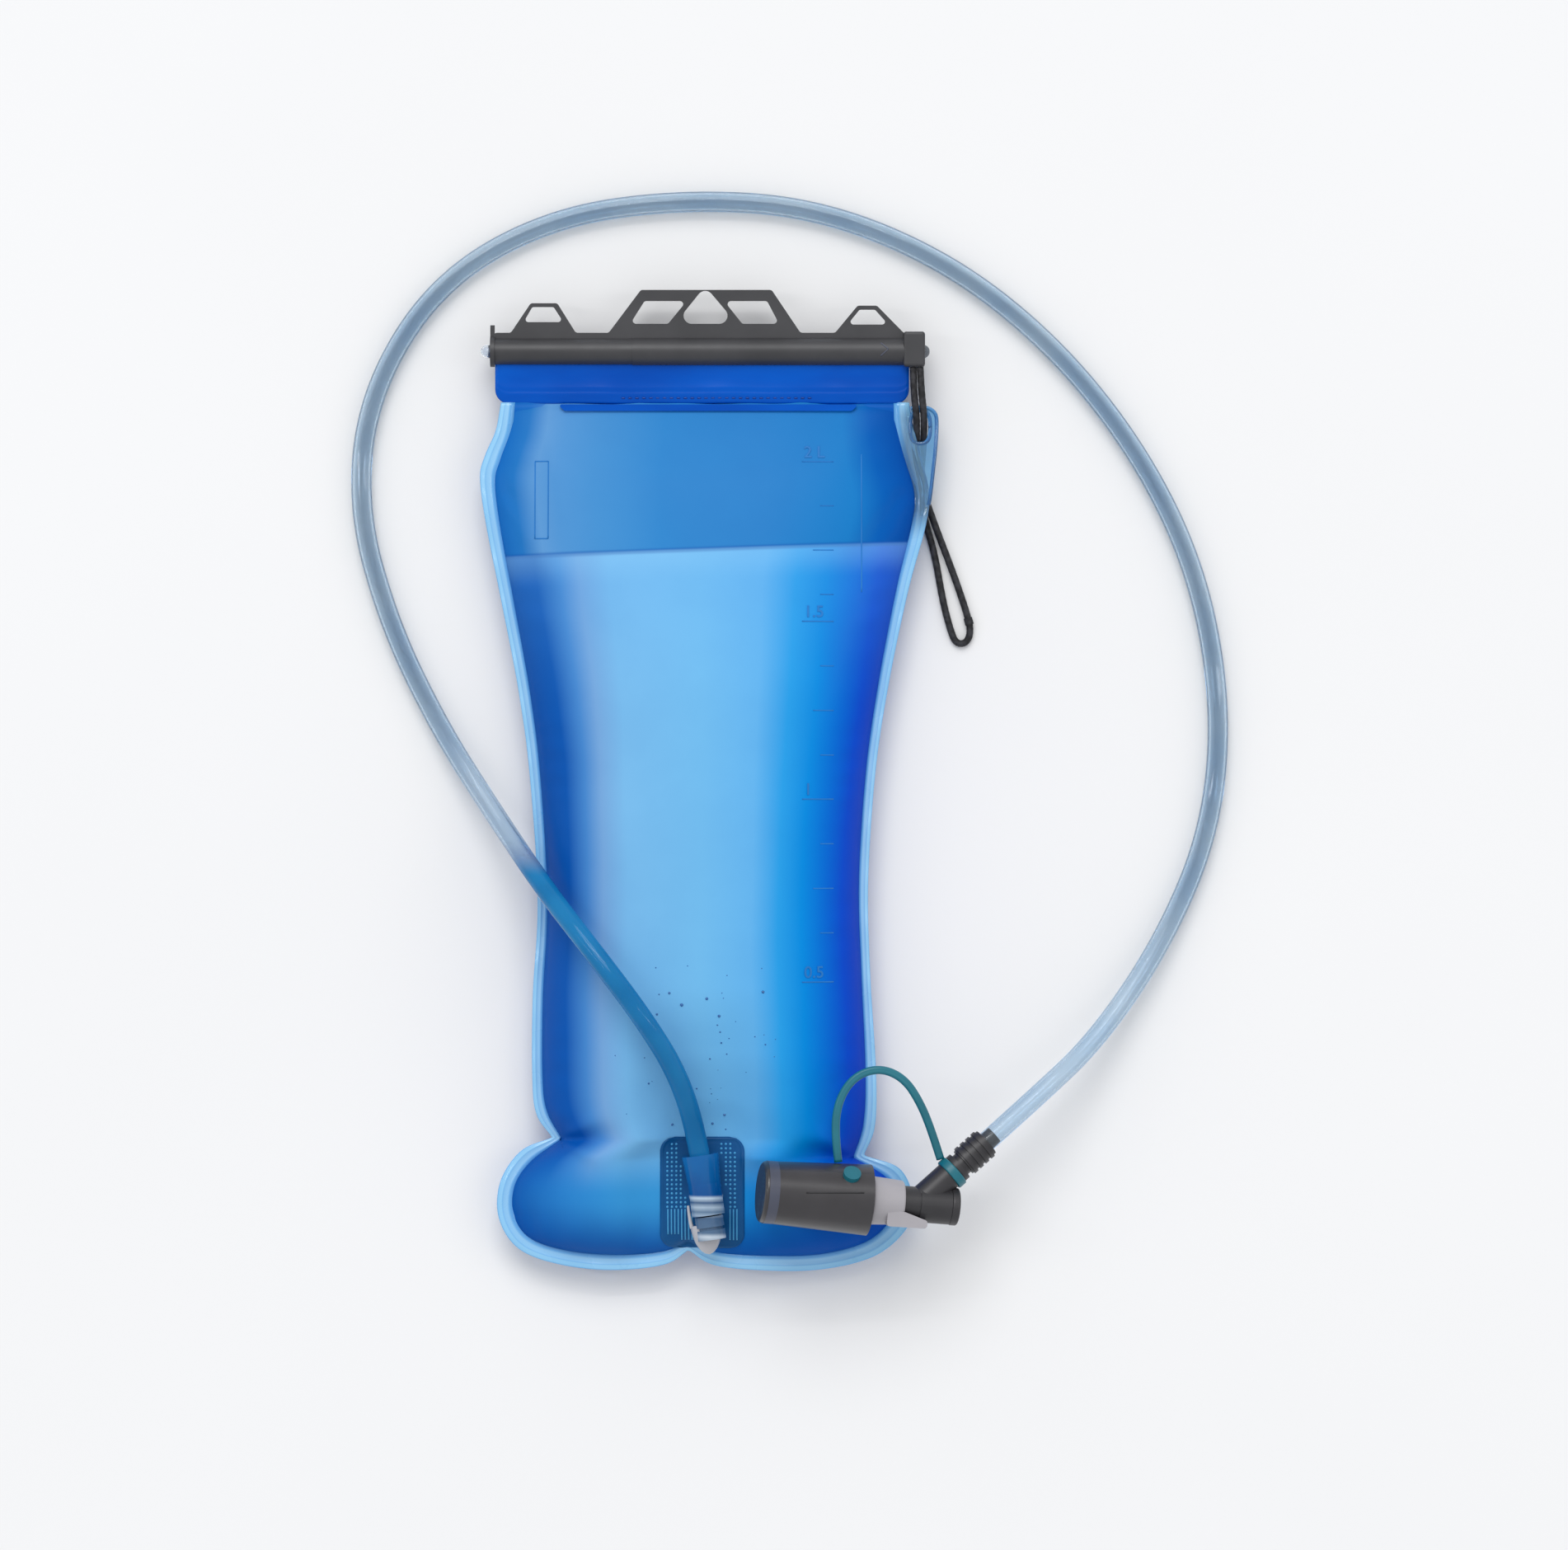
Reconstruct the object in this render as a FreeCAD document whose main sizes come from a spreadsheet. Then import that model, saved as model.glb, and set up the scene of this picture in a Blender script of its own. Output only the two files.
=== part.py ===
"""Hydration bladder with slide closure, quick-release port, hose and capped bite valve.

Millimetres. The bladder lies on its back: +Z is up, out of the front film, +Y runs to
the closure, +X to the right. The origin is on the flat back, under the middle.
"""
import FreeCAD, Part
import math
import os

from FreeCAD import Placement, Rotation, Vector

doc = FreeCAD.newDocument("hydration_bladder")
sheet = doc.addObject("Spreadsheet::Sheet", "Sizes")

SIZES = [
    ("seam_height", 15.0, "weld plane above the flat back"),
    ("film", 0.4, "thickness of each film"),
    ("border_thick", 1.0, "the two films welded"),
    ("hem_thick", 1.6, "doubled hem"),
    ("clamp_axis", 176.6, "closure axis along Y"),
    ("clamp_left", -88.7, "left end of the slide clamp"),
    ("clamp_long", 176.0, "length of the clamp tube"),
    ("clamp_radius", 5.5, "outside of the clamp tube"),
    ("clamp_bore", 3.95, "bore of the clamp tube"),
    ("clamp_slot", 2.2, "slot for the hem"),
    ("blade_thick", 2.4, "clamp blade and handles"),
    ("rod_radius", 2.4, "closure rod"),
    ("ball_radius", 2.85, "ball ends of the rod"),
    ("ball_reach", 90.0, "ball centres from the middle"),
    ("sleeve_radius", 3.6, "hem rolled round the rod"),
    ("pad_top", 26.2, "top of the port pad"),
    ("hose_radius", 4.25, "outside of the hose"),
    ("hose_bore", 3.0, "inside of the hose"),
    ("elbow_axis", 33.4, "height of the hose axis at the port"),
    ("stub_radius", 4.4, "plug that enters the port"),
    ("socket_bore", 4.45, "bore that takes the plug"),
    ("socket_radius", 7.0, "outside of the port socket"),
    ("hood_radius", 8.0, "outside of the elbow hood"),
    ("button_travel", 1.6, "stroke of the release button"),
    ("cap_long", 45.0, "mouthpiece cap"),
    ("cap_small", 12.6, "cap radius at its closed end"),
    ("cap_large", 14.6, "cap radius at its mouth"),
    ("cap_wall", 1.6, "cap wall"),
    ("neck_radius", 7.0, "neck the shut-off collar turns on"),
    ("barrel_radius", 7.5, "valve barrel"),
    ("chamber", 5.5, "bore of the valve barrel"),
    ("spool_radius", 5.45, "shut-off spool"),
    ("passage", 3.0, "water passage"),
    ("collar_radius", 10.0, "shut-off collar"),
    ("branch_radius", 5.9, "branch of the valve"),
    ("branch_start", 20.5, "where the branch meets the valve axis"),
    ("branch_reach", 34.2, "hose end along the branch"),
    ("strap_radius", 1.7, "cap strap"),
    ("tether_radius", 1.4, "tether cord"),
]
for row, (alias, value, note) in enumerate(SIZES, 1):
    sheet.set(f"A{row}", alias)
    sheet.set(f"B{row}", str(value))
    sheet.set(f"C{row}", note)
    sheet.setAlias(f"B{row}", alias)
doc.recompute()


class Size:
    """A number, with the sheet formula that gives it."""

    def __init__(self, value, text):
        self.value = float(value)
        self.text = text

    def join(self, other, sign, value):
        return Size(value, f"({self.text} {sign} {as_size(other).text})")

    def __add__(self, other):
        return self.join(other, "+", self.value + float(other))

    def __sub__(self, other):
        return self.join(other, "-", self.value - float(other))

    def __mul__(self, other):
        return self.join(other, "*", self.value * float(other))

    def __truediv__(self, other):
        return self.join(other, "/", self.value / float(other))

    def __radd__(self, other):
        return as_size(other) + self

    def __rsub__(self, other):
        return as_size(other) - self

    def __rmul__(self, other):
        return as_size(other) * self

    def __neg__(self):
        return as_size(0) - self

    def __float__(self):
        return self.value


def as_size(number):
    return number if isinstance(number, Size) else Size(number, f"({float(number)})")


def of(alias):
    """The sheet's size of that name."""
    return Size(float(sheet.get(alias)), "Sizes." + alias)


def bind(piece, prop, size):
    piece.setExpression(prop, as_size(size).text)


# ---------------------------------------------------------------- building blocks

TURNS = {
    "Z": Rotation(),
    "X": Rotation(Vector(0, 1, 0), 90),
    "Y": Rotation(Vector(1, 0, 0), -90),
}


def turned(along):
    return TURNS[along] if isinstance(along, str) else along


def put(piece, at, turn):
    """Place a primitive; its base is bound to the sheet."""
    piece.Placement = Placement(Vector(*[float(v) for v in at]), turn)
    for letter, value in zip("xyz", at):
        bind(piece, f"Placement.Base.{letter}", value)
    return piece


def primitive(kind, name, at, turn, **sizes):
    piece = doc.addObject("Part::" + kind, name)
    for prop, size in sizes.items():
        bind(piece, prop, size)
    return put(piece, at, turn)


def cylinder(name, radius, length, at=(0, 0, 0), along="Z"):
    return primitive("Cylinder", name, at, turned(along), Radius=radius, Height=length)


def cone(name, first, last, length, at=(0, 0, 0), along="Z"):
    return primitive("Cone", name, at, turned(along), Radius1=first, Radius2=last, Height=length)


def box(name, low, high):
    """A box between two corners."""
    spans = [b - a for a, b in zip(low, high)]
    sizes = dict(zip(("Length", "Width", "Height"), spans))
    return primitive("Box", name, low, Rotation(), **sizes)


def ring(name, middle, thick, at=(0, 0, 0), along="Z"):
    return primitive("Torus", name, at, turned(along), Radius1=middle, Radius2=thick)


def ball(name, radius, at):
    return primitive("Sphere", name, at, Rotation(), Radius=radius)


def fuse(name, *pieces):
    whole = doc.addObject("Part::MultiFuse", name)
    whole.Shapes = list(pieces)
    whole.Refine = True
    return whole


def cut(name, base, *tools):
    for number, tool in enumerate(tools):
        last = number == len(tools) - 1
        less = doc.addObject("Part::Cut", name if last else f"{name}_{number}")
        less.Base = base
        less.Tool = tool
        less.Refine = last
        base = less
    return base


def rounded(name, piece, radius, pick):
    """Fillet the edges that pick says yes to."""
    doc.recompute()
    smooth = doc.addObject("Part::Fillet", name)
    smooth.Base = piece
    edges = enumerate(piece.Shape.Edges, 1)
    smooth.Edges = [(number, radius, radius) for number, edge in edges if pick(edge)]
    return smooth


def feature(name, shape):
    piece = doc.addObject("Part::Feature", name)
    piece.Shape = shape
    return piece


def rounded_loop(corners, radius):
    """Edges of a closed outline with every corner rounded by a tangent arc."""
    points = [Vector(x, y, 0) for x, y in corners]
    arcs = []
    for index, corner in enumerate(points):
        back = points[index - 1] - corner
        ahead = points[(index + 1) % len(points)] - corner
        half = (math.pi - back.getAngle(ahead)) / 2
        setback = min(radius * math.tan(half), 0.45 * min(back.Length, ahead.Length))
        bend = setback / math.tan(half)
        back.normalize()
        ahead.normalize()
        inward = (back + ahead).normalize()
        middle = corner + inward * (bend / math.cos(half) - bend)
        arcs.append((corner + back * setback, middle, corner + ahead * setback))
    edges = []
    for index, (first, middle, last) in enumerate(arcs):
        edges.append(Part.Arc(first, middle, last))
        edges.append(Part.LineSegment(last, arcs[(index + 1) % len(arcs)][0]))
    return edges


def origin_plane(body, role):
    return next(item for item in body.Origin.OriginFeatures if item.Role == role)


def plate(name, loops, thick, height):
    """A body: a sketch of closed loops on the XY plane, padded up from a height."""
    body = doc.addObject("PartDesign::Body", name)
    sketch = body.newObject("Sketcher::SketchObject", name + "_outline")
    sketch.AttachmentSupport = (origin_plane(body, "XY_Plane"), [""])
    sketch.MapMode = "FlatFace"
    for corners, radius in loops:
        sketch.addGeometry(rounded_loop(corners, radius), False)
    pad = body.newObject("PartDesign::Pad", name + "_pad")
    pad.Profile = sketch
    bind(pad, "Length", thick)
    bind(body, "Placement.Base.z", height)
    body.Tip = pad
    sketch.Visibility = False
    return body


def cord_wire(points):
    """Straight runs joined by tangent arcs as large as the two runs allow."""
    points = [Vector(*[float(v) for v in point]) for point in points]
    edges = []
    radii = []
    start = points[0]
    for before, corner, after in zip(points, points[1:], points[2:]):
        back = before - corner
        ahead = after - corner
        setback = 0.45 * min(back.Length, ahead.Length)
        half = (math.pi - back.getAngle(ahead)) / 2
        radius = setback / math.tan(half)
        radii.append(radius)
        back.normalize()
        ahead.normalize()
        inward = (back + ahead).normalize()
        entry = corner + back * setback
        middle = corner + inward * (radius / math.cos(half) - radius)
        edges.append(Part.LineSegment(start, entry).toShape())
        start = corner + ahead * setback
        edges.append(Part.Arc(entry, middle, start).toShape())
    edges.append(Part.LineSegment(start, points[-1]).toShape())
    return Part.Wire(edges), radii


def cord_tube(name, points, outer, inner=0.0):
    """A round tube, or a solid cord, along a route; prints its radii and volumes."""
    wire, radii = cord_wire(points)
    start = wire.Edges[0]
    where = start.valueAt(start.FirstParameter)
    way = start.tangentAt(start.FirstParameter)
    face = Part.Face(Part.Wire(Part.makeCircle(outer, where, way)))
    area = math.pi * (outer ** 2 - inner ** 2)
    if inner:
        face = face.cut(Part.Face(Part.Wire(Part.makeCircle(inner, where, way))))
        face = face.Faces[0]
    solid = wire.makePipe(face)
    solid = solid.Solids[0] if solid.Solids else Part.Solid(solid.Shells[0])
    runs = [(Vector(*a) - Vector(*b)).Length for a, b in zip(points, points[1:])]
    print(name, "length", round(wire.Length, 1), "radii", [round(r, 1) for r in radii])
    print(name, "runs", [round(run, 1) for run in runs])
    print(name, "volume", round(solid.Volume, 1), "expected", round(area * wire.Length, 1))
    return feature(name, solid)


nodes = []


def node(piece, label, place=None):
    """Name the finished sub-part and set where it stands."""
    piece.Label = label
    if place is not None:
        piece.Placement = place
    nodes.append(piece)
    return piece


# ---------------------------------------------------------------- the filled bag

SEAM = float(of("seam_height"))
FILM = float(of("film"))

# y, left edge, right edge, crown above the seam, dip at the middle, belly under the seam
BAG_STATIONS = [
    (150.0, -78.5, 78.0, 1.6, 0.0, 1.6),
    (140.0, -81.5, 80.0, 6.0, 0.0, 7.0),
    (124.0, -87.0, 86.0, 11.0, 0.0, 14.0),
    (98.0, -83.5, 84.0, 17.0, 0.0, 19.0),
    (60.0, -75.0, 74.0, 25.0, 0.0, 19.0),
    (15.0, -69.0, 66.0, 31.0, 0.0, 19.0),
    (-35.0, -64.5, 61.5, 33.5, 0.0, 19.0),
    (-85.0, -65.0, 62.0, 33.0, 1.0, 19.0),
    (-112.0, -65.5, 64.0, 31.0, 6.0, 19.0),
    (-132.0, -64.5, 64.5, 27.5, 11.5, 19.0),
    (-146.0, -60.0, 62.0, 24.6, 13.8, 19.0),
    (-158.0, -69.0, 66.0, 23.1, 14.1, 19.0),
    (-172.0, -78.5, 77.0, 22.1, 13.1, 19.0),
    (-184.0, -76.5, 76.0, 17.0, 8.5, 17.0),
    (-192.0, -66.0, 69.0, 9.0, 2.0, 10.0),
    (-196.5, -52.0, 56.0, 2.2, 0.0, 2.5),
]
ACROSS = [-1.0, -0.95, -0.8, -0.6, -0.4, -0.2, 0.0, 0.2, 0.4, 0.6, 0.8, 0.95, 1.0]


def crown_at(across, crown, dip):
    """Height of the front film over the seam: two lobes with a dip between them."""
    return crown * (1 - abs(across) ** 2.5) ** 0.6 - dip * math.exp(-((across / 0.42) ** 4))


def belly_at(across, belly):
    """Depth of the back film under the seam, before the floor flattens it."""
    return belly * math.sqrt(1 - across ** 4)


def bag_section(station, inset):
    """One closed cross-section of the bag, drawn in by an inset."""
    y, left, right, crown, dip, belly = station
    middle = (left + right) / 2
    half = (right - left) / 2 - 2 * inset
    ends = [Vector(middle - half, y, SEAM), Vector(middle + half, y, SEAM)]
    front = [ends[0]]
    back = [ends[1]]
    for across in ACROSS[1:-1]:
        rise = max(crown_at(across, crown, dip) - inset, 0.2)
        fall = max(belly_at(across, belly) - inset, 0.2)
        front.append(Vector(middle + half * across, y, SEAM + rise))
        back.append(Vector(middle - half * across, y, SEAM - fall))
    front.append(ends[1])
    back.append(ends[0])
    edges = []
    for points in (front, back):
        curve = Part.BSplineCurve()
        curve.interpolate(points)
        edges.append(curve.toShape())
    return Part.Wire(edges)


def bag_solid(inset):
    """The bag as one solid, drawn in by an inset and cut flat where it lies."""
    stations = list(BAG_STATIONS)
    for index, step in ((0, -inset), (-1, inset)):
        stations[index] = (stations[index][0] + step,) + stations[index][1:]
    body = Part.makeLoft([bag_section(s, inset) for s in stations], True, True)
    floor = Part.makeBox(400, 600, 100, Vector(-200, -300, inset))
    return body.common(floor).Solids[0]


bag_outside = bag_solid(0.0)
bag_inside = bag_solid(FILM)
skin = bag_outside.cut(bag_inside)
over_seam = Part.makeBox(400, 600, 100, Vector(-200, -300, SEAM))
under_seam = Part.makeBox(400, 600, 100, Vector(-200, -300, SEAM - 100))

# Outline of the welded border, anticlockwise from the top left.
LEFT_SIDE = [
    (-84.3, 154.7), (-86.5, 144.0), (-91.0, 133.5), (-93.0, 124.0), (-90.3, 104.0),
    (-84.5, 75.0), (-77.0, 36.0), (-72.3, 0.0), (-69.2, -50.0), (-71.2, -90.0),
    (-71.4, -122.0), (-69.8, -138.0), (-63.2, -148.0),
]
LEFT_LOBE = [
    (-63.2, -148.0), (-76.0, -153.5), (-84.5, -166.0), (-85.3, -181.0), (-77.0, -194.0),
    (-60.0, -200.5), (-38.0, -202.8), (-17.0, -200.6), (-6.8, -194.5),
]
RIGHT_LOBE = [
    (-6.8, -194.5), (4.0, -200.8), (26.0, -203.0), (49.0, -202.4), (70.0, -197.0),
    (83.0, -186.0), (86.0, -174.0), (80.5, -161.0), (65.6, -155.4),
]
RIGHT_SIDE = [
    (65.6, -155.4), (70.2, -143.0), (70.6, -120.0), (68.2, -80.0), (67.4, -42.0),
    (70.4, 3.0), (76.0, 40.0), (84.0, 78.0), (91.0, 104.0), (92.6, 118.0),
    (89.0, 134.0), (86.0, 146.0), (84.3, 154.7),
]


def smooth_edge(points):
    curve = Part.BSplineCurve()
    curve.interpolate([Vector(x, y, 0) for x, y in points])
    return curve.toShape()


def outline_blank(thick):
    """The bag's full outline as a flat plate in the seam plane."""
    edges = [smooth_edge(run) for run in (LEFT_SIDE, LEFT_LOBE, RIGHT_LOBE, RIGHT_SIDE)]
    top = Part.LineSegment(Vector(*RIGHT_SIDE[-1], 0), Vector(*LEFT_SIDE[0], 0))
    face = Part.Face(Part.Wire(edges + [top.toShape()]))
    face.translate(Vector(0, 0, SEAM - thick / 2))
    return face.extrude(Vector(0, 0, thick))


border_blank = outline_blank(float(of("border_thick")))

# ---------------------------------------------------------------- the port

PORT_X = 0.5
PORT_Y = -171.0
HOSE_LEAN = 8.0
SOCKET_FLOOR = 12.0
FLANGE_TOP = 22.2

port_frame = Placement(Vector(PORT_X, PORT_Y, 0), Rotation(Vector(0, 0, 1), HOSE_LEAN))
pad_corners = [(-18.4, -147.2), (16.3, -147.2), (16.3, -181.0), (12.5, -193.1),
               (-14.0, -193.1), (-18.4, -181.0)]
pad_blank = plate("pad_blank", [(pad_corners, 5.0)], of("pad_top") - 14.0, 14.0)
socket_hole = cylinder("socket_hole", of("socket_radius"), 30.0, (PORT_X, PORT_Y, 10.0))
flange_ring = cylinder("flange_ring", 14.0, 1.4, (PORT_X, PORT_Y, FLANGE_TOP - 1.4))
doc.recompute()

bag_keep = feature("bag_keep", bag_outside)
pad = cut("pad", pad_blank, bag_keep, socket_hole)
node(pad, "port_pad")

through_film = socket_hole.Shape
front = skin.common(over_seam).cut(through_film)
node(feature("front_film", front.Solids[0]), "bag_front_film")
back = skin.common(under_seam)
node(feature("back_film", back.Solids[0]), "bag_back_film")
border = feature("border", border_blank.cut(bag_outside).Solids[0])

flange = cut("flange", flange_ring, cylinder("flange_hole", of("socket_radius"), 30.0,
                                             (PORT_X, PORT_Y, 10.0)))
node(flange, "port_inner_flange")

water = bag_inside.cut(flange_ring.Shape).cut(through_film)
water = max(water.Solids, key=lambda solid: solid.Volume)
node(feature("water", water), "water_fill")

# The socket: a cup through the film, with the button housing lying on the pad.
HOUSING_BACK = -8.6
HOUSING_LONG = 9.6
HOUSING_RADIUS = 5.9
RIM = 0.9
button_axis = of("elbow_axis") - 0.4
cup = cylinder("cup", of("socket_radius"), of("pad_top") + RIM - SOCKET_FLOOR,
               (0, 0, SOCKET_FLOOR))
housing = cylinder("housing", HOUSING_RADIUS, HOUSING_LONG,
                   (0, HOUSING_BACK - HOUSING_LONG, button_axis), "Y")
foot = box("foot", (-5.0, HOUSING_BACK - HOUSING_LONG, of("pad_top")),
           (5.0, HOUSING_BACK, button_axis))
cup_bore = cylinder("cup_bore", of("socket_bore"), 30.0, (0, 0, SOCKET_FLOOR + 1.5))
drain = cylinder("drain", 2.6, 4.0, (0, 0, SOCKET_FLOOR - 1))
button_bore = cylinder("button_bore", 3.1, HOUSING_LONG - 1.4,
                       (0, HOUSING_BACK - HOUSING_LONG - 0.01, button_axis), "Y")
neck_groove = cut("neck_groove",
                  cylinder("groove_out", 7.0, 1.2, (0, HOUSING_BACK - 5.6, button_axis), "Y"),
                  cylinder("groove_in", 5.2, 1.4, (0, HOUSING_BACK - 5.7, button_axis), "Y"))
bridge = box("bridge", (-3.5, HOUSING_BACK - 3.0, of("pad_top")),
             (3.5, -5.0, of("pad_top") + RIM))
socket = cut("socket", fuse("socket_solid", cup, housing, foot, bridge),
             cup_bore, drain, button_bore, neck_groove)
node(socket, "port_socket", port_frame)

button_front = HOUSING_BACK - HOUSING_LONG - of("button_travel") - 0.3
stem = cylinder("stem", 2.8, 6.0, (0, button_front - 0.5, button_axis), "Y")
stem_pocket = cylinder("stem_pocket", 2.0, 2.0, (0, button_front + 4.0, button_axis), "Y")
tip = plate("tip", [([(-4.6, float(button_front)), (4.6, float(button_front)), (2.2, -26.6),
                      (-2.2, -26.6)], 2.0)], 7.4, of("pad_top") + 1.6)
node(cut("button", fuse("button_solid", stem, tip), stem_pocket), "release_button", port_frame)

SPRING_WIRE = 0.25
spring_seat = float(button_front) + 4.0
spring_long = HOUSING_BACK - 1.4 - spring_seat - 0.1
helix = Part.makeHelix(spring_long / 4, spring_long - 2 * SPRING_WIRE, 1.6)
coil = Part.Wire(Part.makeCircle(SPRING_WIRE, Vector(1.6, 0, 0), Vector(0, 1, 0)))
spring = Part.Wire(helix).makePipeShell([coil], True, True)
spring_at = Placement(Vector(0, spring_seat + SPRING_WIRE + 0.05, float(button_axis)), TURNS["Y"])
node(feature("button_spring", spring), "release_spring", port_frame.multiply(spring_at))

# The elbow: a plug down into the socket, a barrel with a barb, a hood round the hose end.
HOSE_START = 5.0
HOOD_LONG = 11.8
BARB_LONG = 9.0
barrel_back = -8.0
stub = cylinder("stub", of("stub_radius"), of("elbow_axis") - 14.5, (0, 0, 14.5))
barrel = cylinder("barrel", of("hood_radius") - 1.2, HOSE_START - barrel_back,
                  (0, barrel_back, of("elbow_axis")), "Y")
elbow_floor = of("pad_top") + RIM + 0.3
shoulder = cylinder("shoulder", of("socket_radius") - 1.2, of("elbow_axis") - elbow_floor,
                    (0, 0, elbow_floor))
hood = cone("hood", of("hood_radius") - 1.2, of("hood_radius") - 0.4, HOOD_LONG,
            (0, HOSE_START, of("elbow_axis")), "Y")
hood_bore = cylinder("hood_bore", of("hose_radius") + 0.15, HOOD_LONG + 1,
                     (0, HOSE_START, of("elbow_axis")), "Y")
hood_under = box("hood_under", (-12.0, -12.0, 10.0), (12.0, 30.0, elbow_floor))
hood_shell = cut("hood_shell", hood, hood_bore, hood_under)
barrel_flat = cut("barrel_flat", barrel, hood_under)
barb = cylinder("barb", of("hose_bore"), BARB_LONG, (0, HOSE_START - 0.5, of("elbow_axis")), "Y")
along_bore = cylinder("along_bore", 1.9, 30.0, (0, -4.0, of("elbow_axis")), "Y")
down_bore = cylinder("down_bore", 2.2, of("elbow_axis") - 10.0, (0, 0, 10.0))
RING_HEIGHTS = (17.0, 21.5)
RING_THICK = 0.55
seats = [ring(f"seat_{n}", of("stub_radius") - RING_THICK + 0.05, RING_THICK, (0, 0, z))
         for n, z in enumerate(RING_HEIGHTS)]
elbow = cut("elbow", fuse("elbow_solid", stub, barrel_flat, shoulder, hood_shell, barb),
            along_bore, down_bore, *seats)
node(elbow, "hose_elbow", port_frame)
rings = [ring(f"elbow_ring_{n}", of("stub_radius") - RING_THICK + 0.05, RING_THICK, (0, 0, z))
         for n, z in enumerate(RING_HEIGHTS)]
node(fuse("elbow_rings", *rings), "elbow_o_rings", port_frame)

# ---------------------------------------------------------------- hem, rod and clamp

AXIS_Y = of("clamp_axis")
HEM_LEFT = -86.7
HEM_RIGHT = 84.3
hem_corners = [(HEM_LEFT, float(AXIS_Y)), (HEM_LEFT, 156.5), (-82.5, 154.7), (80.5, 154.7),
               (HEM_RIGHT, 156.5), (HEM_RIGHT, float(AXIS_Y))]
hem_flat = plate("hem_flat", [(hem_corners, 3.0)], of("hem_thick"),
                 of("seam_height") - of("hem_thick") / 2)
hem_roll = cylinder("hem_roll", of("sleeve_radius"), HEM_RIGHT - HEM_LEFT,
                    (HEM_LEFT, AXIS_Y, of("seam_height")), "X")
hem_bore = cylinder("hem_bore", of("rod_radius") + 0.05, 200.0,
                    (-100.0, AXIS_Y, of("seam_height")), "X")
node(cut("hem", fuse("hem_solid", hem_flat, hem_roll), hem_bore), "top_fold_hem")

lip_corners = [(-61.0, 154.7), (-58.0, 152.0), (60.6, 152.0), (63.6, 154.7)]
lip = plate("lip", [(lip_corners, 1.2)], 1.4, of("seam_height") + of("border_thick") / 2)
node(cut("lip_trim", lip, bag_keep), "mouth_lip")

rod = cylinder("rod", of("rod_radius"), of("ball_reach") * 2,
               (-of("ball_reach"), AXIS_Y, of("seam_height")), "X")
ends = [ball(f"rod_ball_{n}", of("ball_radius"), (side, AXIS_Y, of("seam_height")))
        for n, side in enumerate((-of("ball_reach"), of("ball_reach")))]
node(fuse("rod_whole", rod, *ends), "closure_rod")

BLADE_TOP = 184.3
clamp_right = float(of("clamp_left") + of("clamp_long"))
blade_corners = [
    (-87.5, 176.6), (-87.5, BLADE_TOP), (-80.2, BLADE_TOP), (-72.0, 196.5), (-61.0, 196.5),
    (-53.4, BLADE_TOP), (-39.8, BLADE_TOP), (-26.5, 202.0), (27.5, 202.0),
    (39.4, BLADE_TOP), (53.7, BLADE_TOP), (63.0, 195.5), (71.0, 195.5), (82.0, BLADE_TOP),
    (clamp_right, BLADE_TOP), (clamp_right, 176.6),
]
windows = [
    ([(-75.0, 188.7), (-71.4, 195.0), (-62.6, 195.0), (-58.5, 188.7)], 1.2),
    ([(58.8, 187.7), (63.8, 193.9), (70.2, 193.9), (75.8, 187.7)], 1.2),
    ([(-31.0, 188.0), (-25.0, 197.5), (-7.5, 197.5), (-15.3, 188.0)], 1.4),
    ([(-12.6, 188.0), (0.0, 203.6), (13.2, 188.0)], 3.4),
    ([(15.4, 188.0), (7.8, 197.5), (25.6, 197.5), (30.6, 188.0)], 1.4),
]
blade = plate("blade", [(blade_corners, 1.6)] + windows, of("blade_thick"),
              of("seam_height") - of("blade_thick") / 2)
tube = cylinder("clamp_tube", of("clamp_radius"), of("clamp_long"),
                (of("clamp_left"), AXIS_Y, of("seam_height")), "X")
step_sleeve = cylinder("step_sleeve", of("clamp_radius") + 0.25, clamp_right + 30.0,
                       (-30.0, AXIS_Y, of("seam_height")), "X")
flange_disc = cylinder("flange_disc", of("clamp_radius") + 0.9, 1.8,
                       (of("clamp_left"), AXIS_Y, of("seam_height")), "X")
fin = box("fin", (of("clamp_left"), AXIS_Y, of("seam_height") - 1.2),
          (of("clamp_left") + 1.8, 187.4, of("seam_height") + 1.2))
BLOCK_RIGHT = 90.8
block = box("end_block", (clamp_right - 5.5, 170.2, of("seam_height") - 5.4),
            (BLOCK_RIGHT, 184.6, of("seam_height") + 6.0))
block_smooth = rounded("end_block_smooth", block, 1.2, lambda edge: True)
clamp_bore = cylinder("clamp_bore_tool", of("clamp_bore"), 220.0,
                      (-100.0, AXIS_Y, of("seam_height")), "X")
clamp_slot = box("clamp_slot_tool", (-100.0, 165.0, of("seam_height") - of("clamp_slot") / 2),
                 (100.0, AXIS_Y, of("seam_height") + of("clamp_slot") / 2))
clamp = cut("clamp", fuse("clamp_solid", tube, step_sleeve, flange_disc, fin, blade,
                          block_smooth), clamp_bore, clamp_slot)
node(clamp, "slide_clamp")

# ---------------------------------------------------------------- side tab and tether

EYELET = (88.9, 145.4)
tab_corners = [(80.0, 153.6), (93.6, 153.6), (96.2, 149.0), (95.4, 136.0), (92.6, 112.0),
               (80.0, 112.0)]
tab = plate("tab", [(tab_corners, 2.5)], of("border_thick"),
            of("seam_height") - of("border_thick") / 2)
eyelet_at = (EYELET[0], EYELET[1], of("seam_height") - 1.2)
eyelet_long = [(-4.6, -7.2), (4.6, -7.2), (4.6, 7.2), (-4.6, 7.2)]
eyelet_hole = [(-3.7, -6.3), (3.7, -6.3), (3.7, 6.3), (-3.7, 6.3)]


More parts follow.
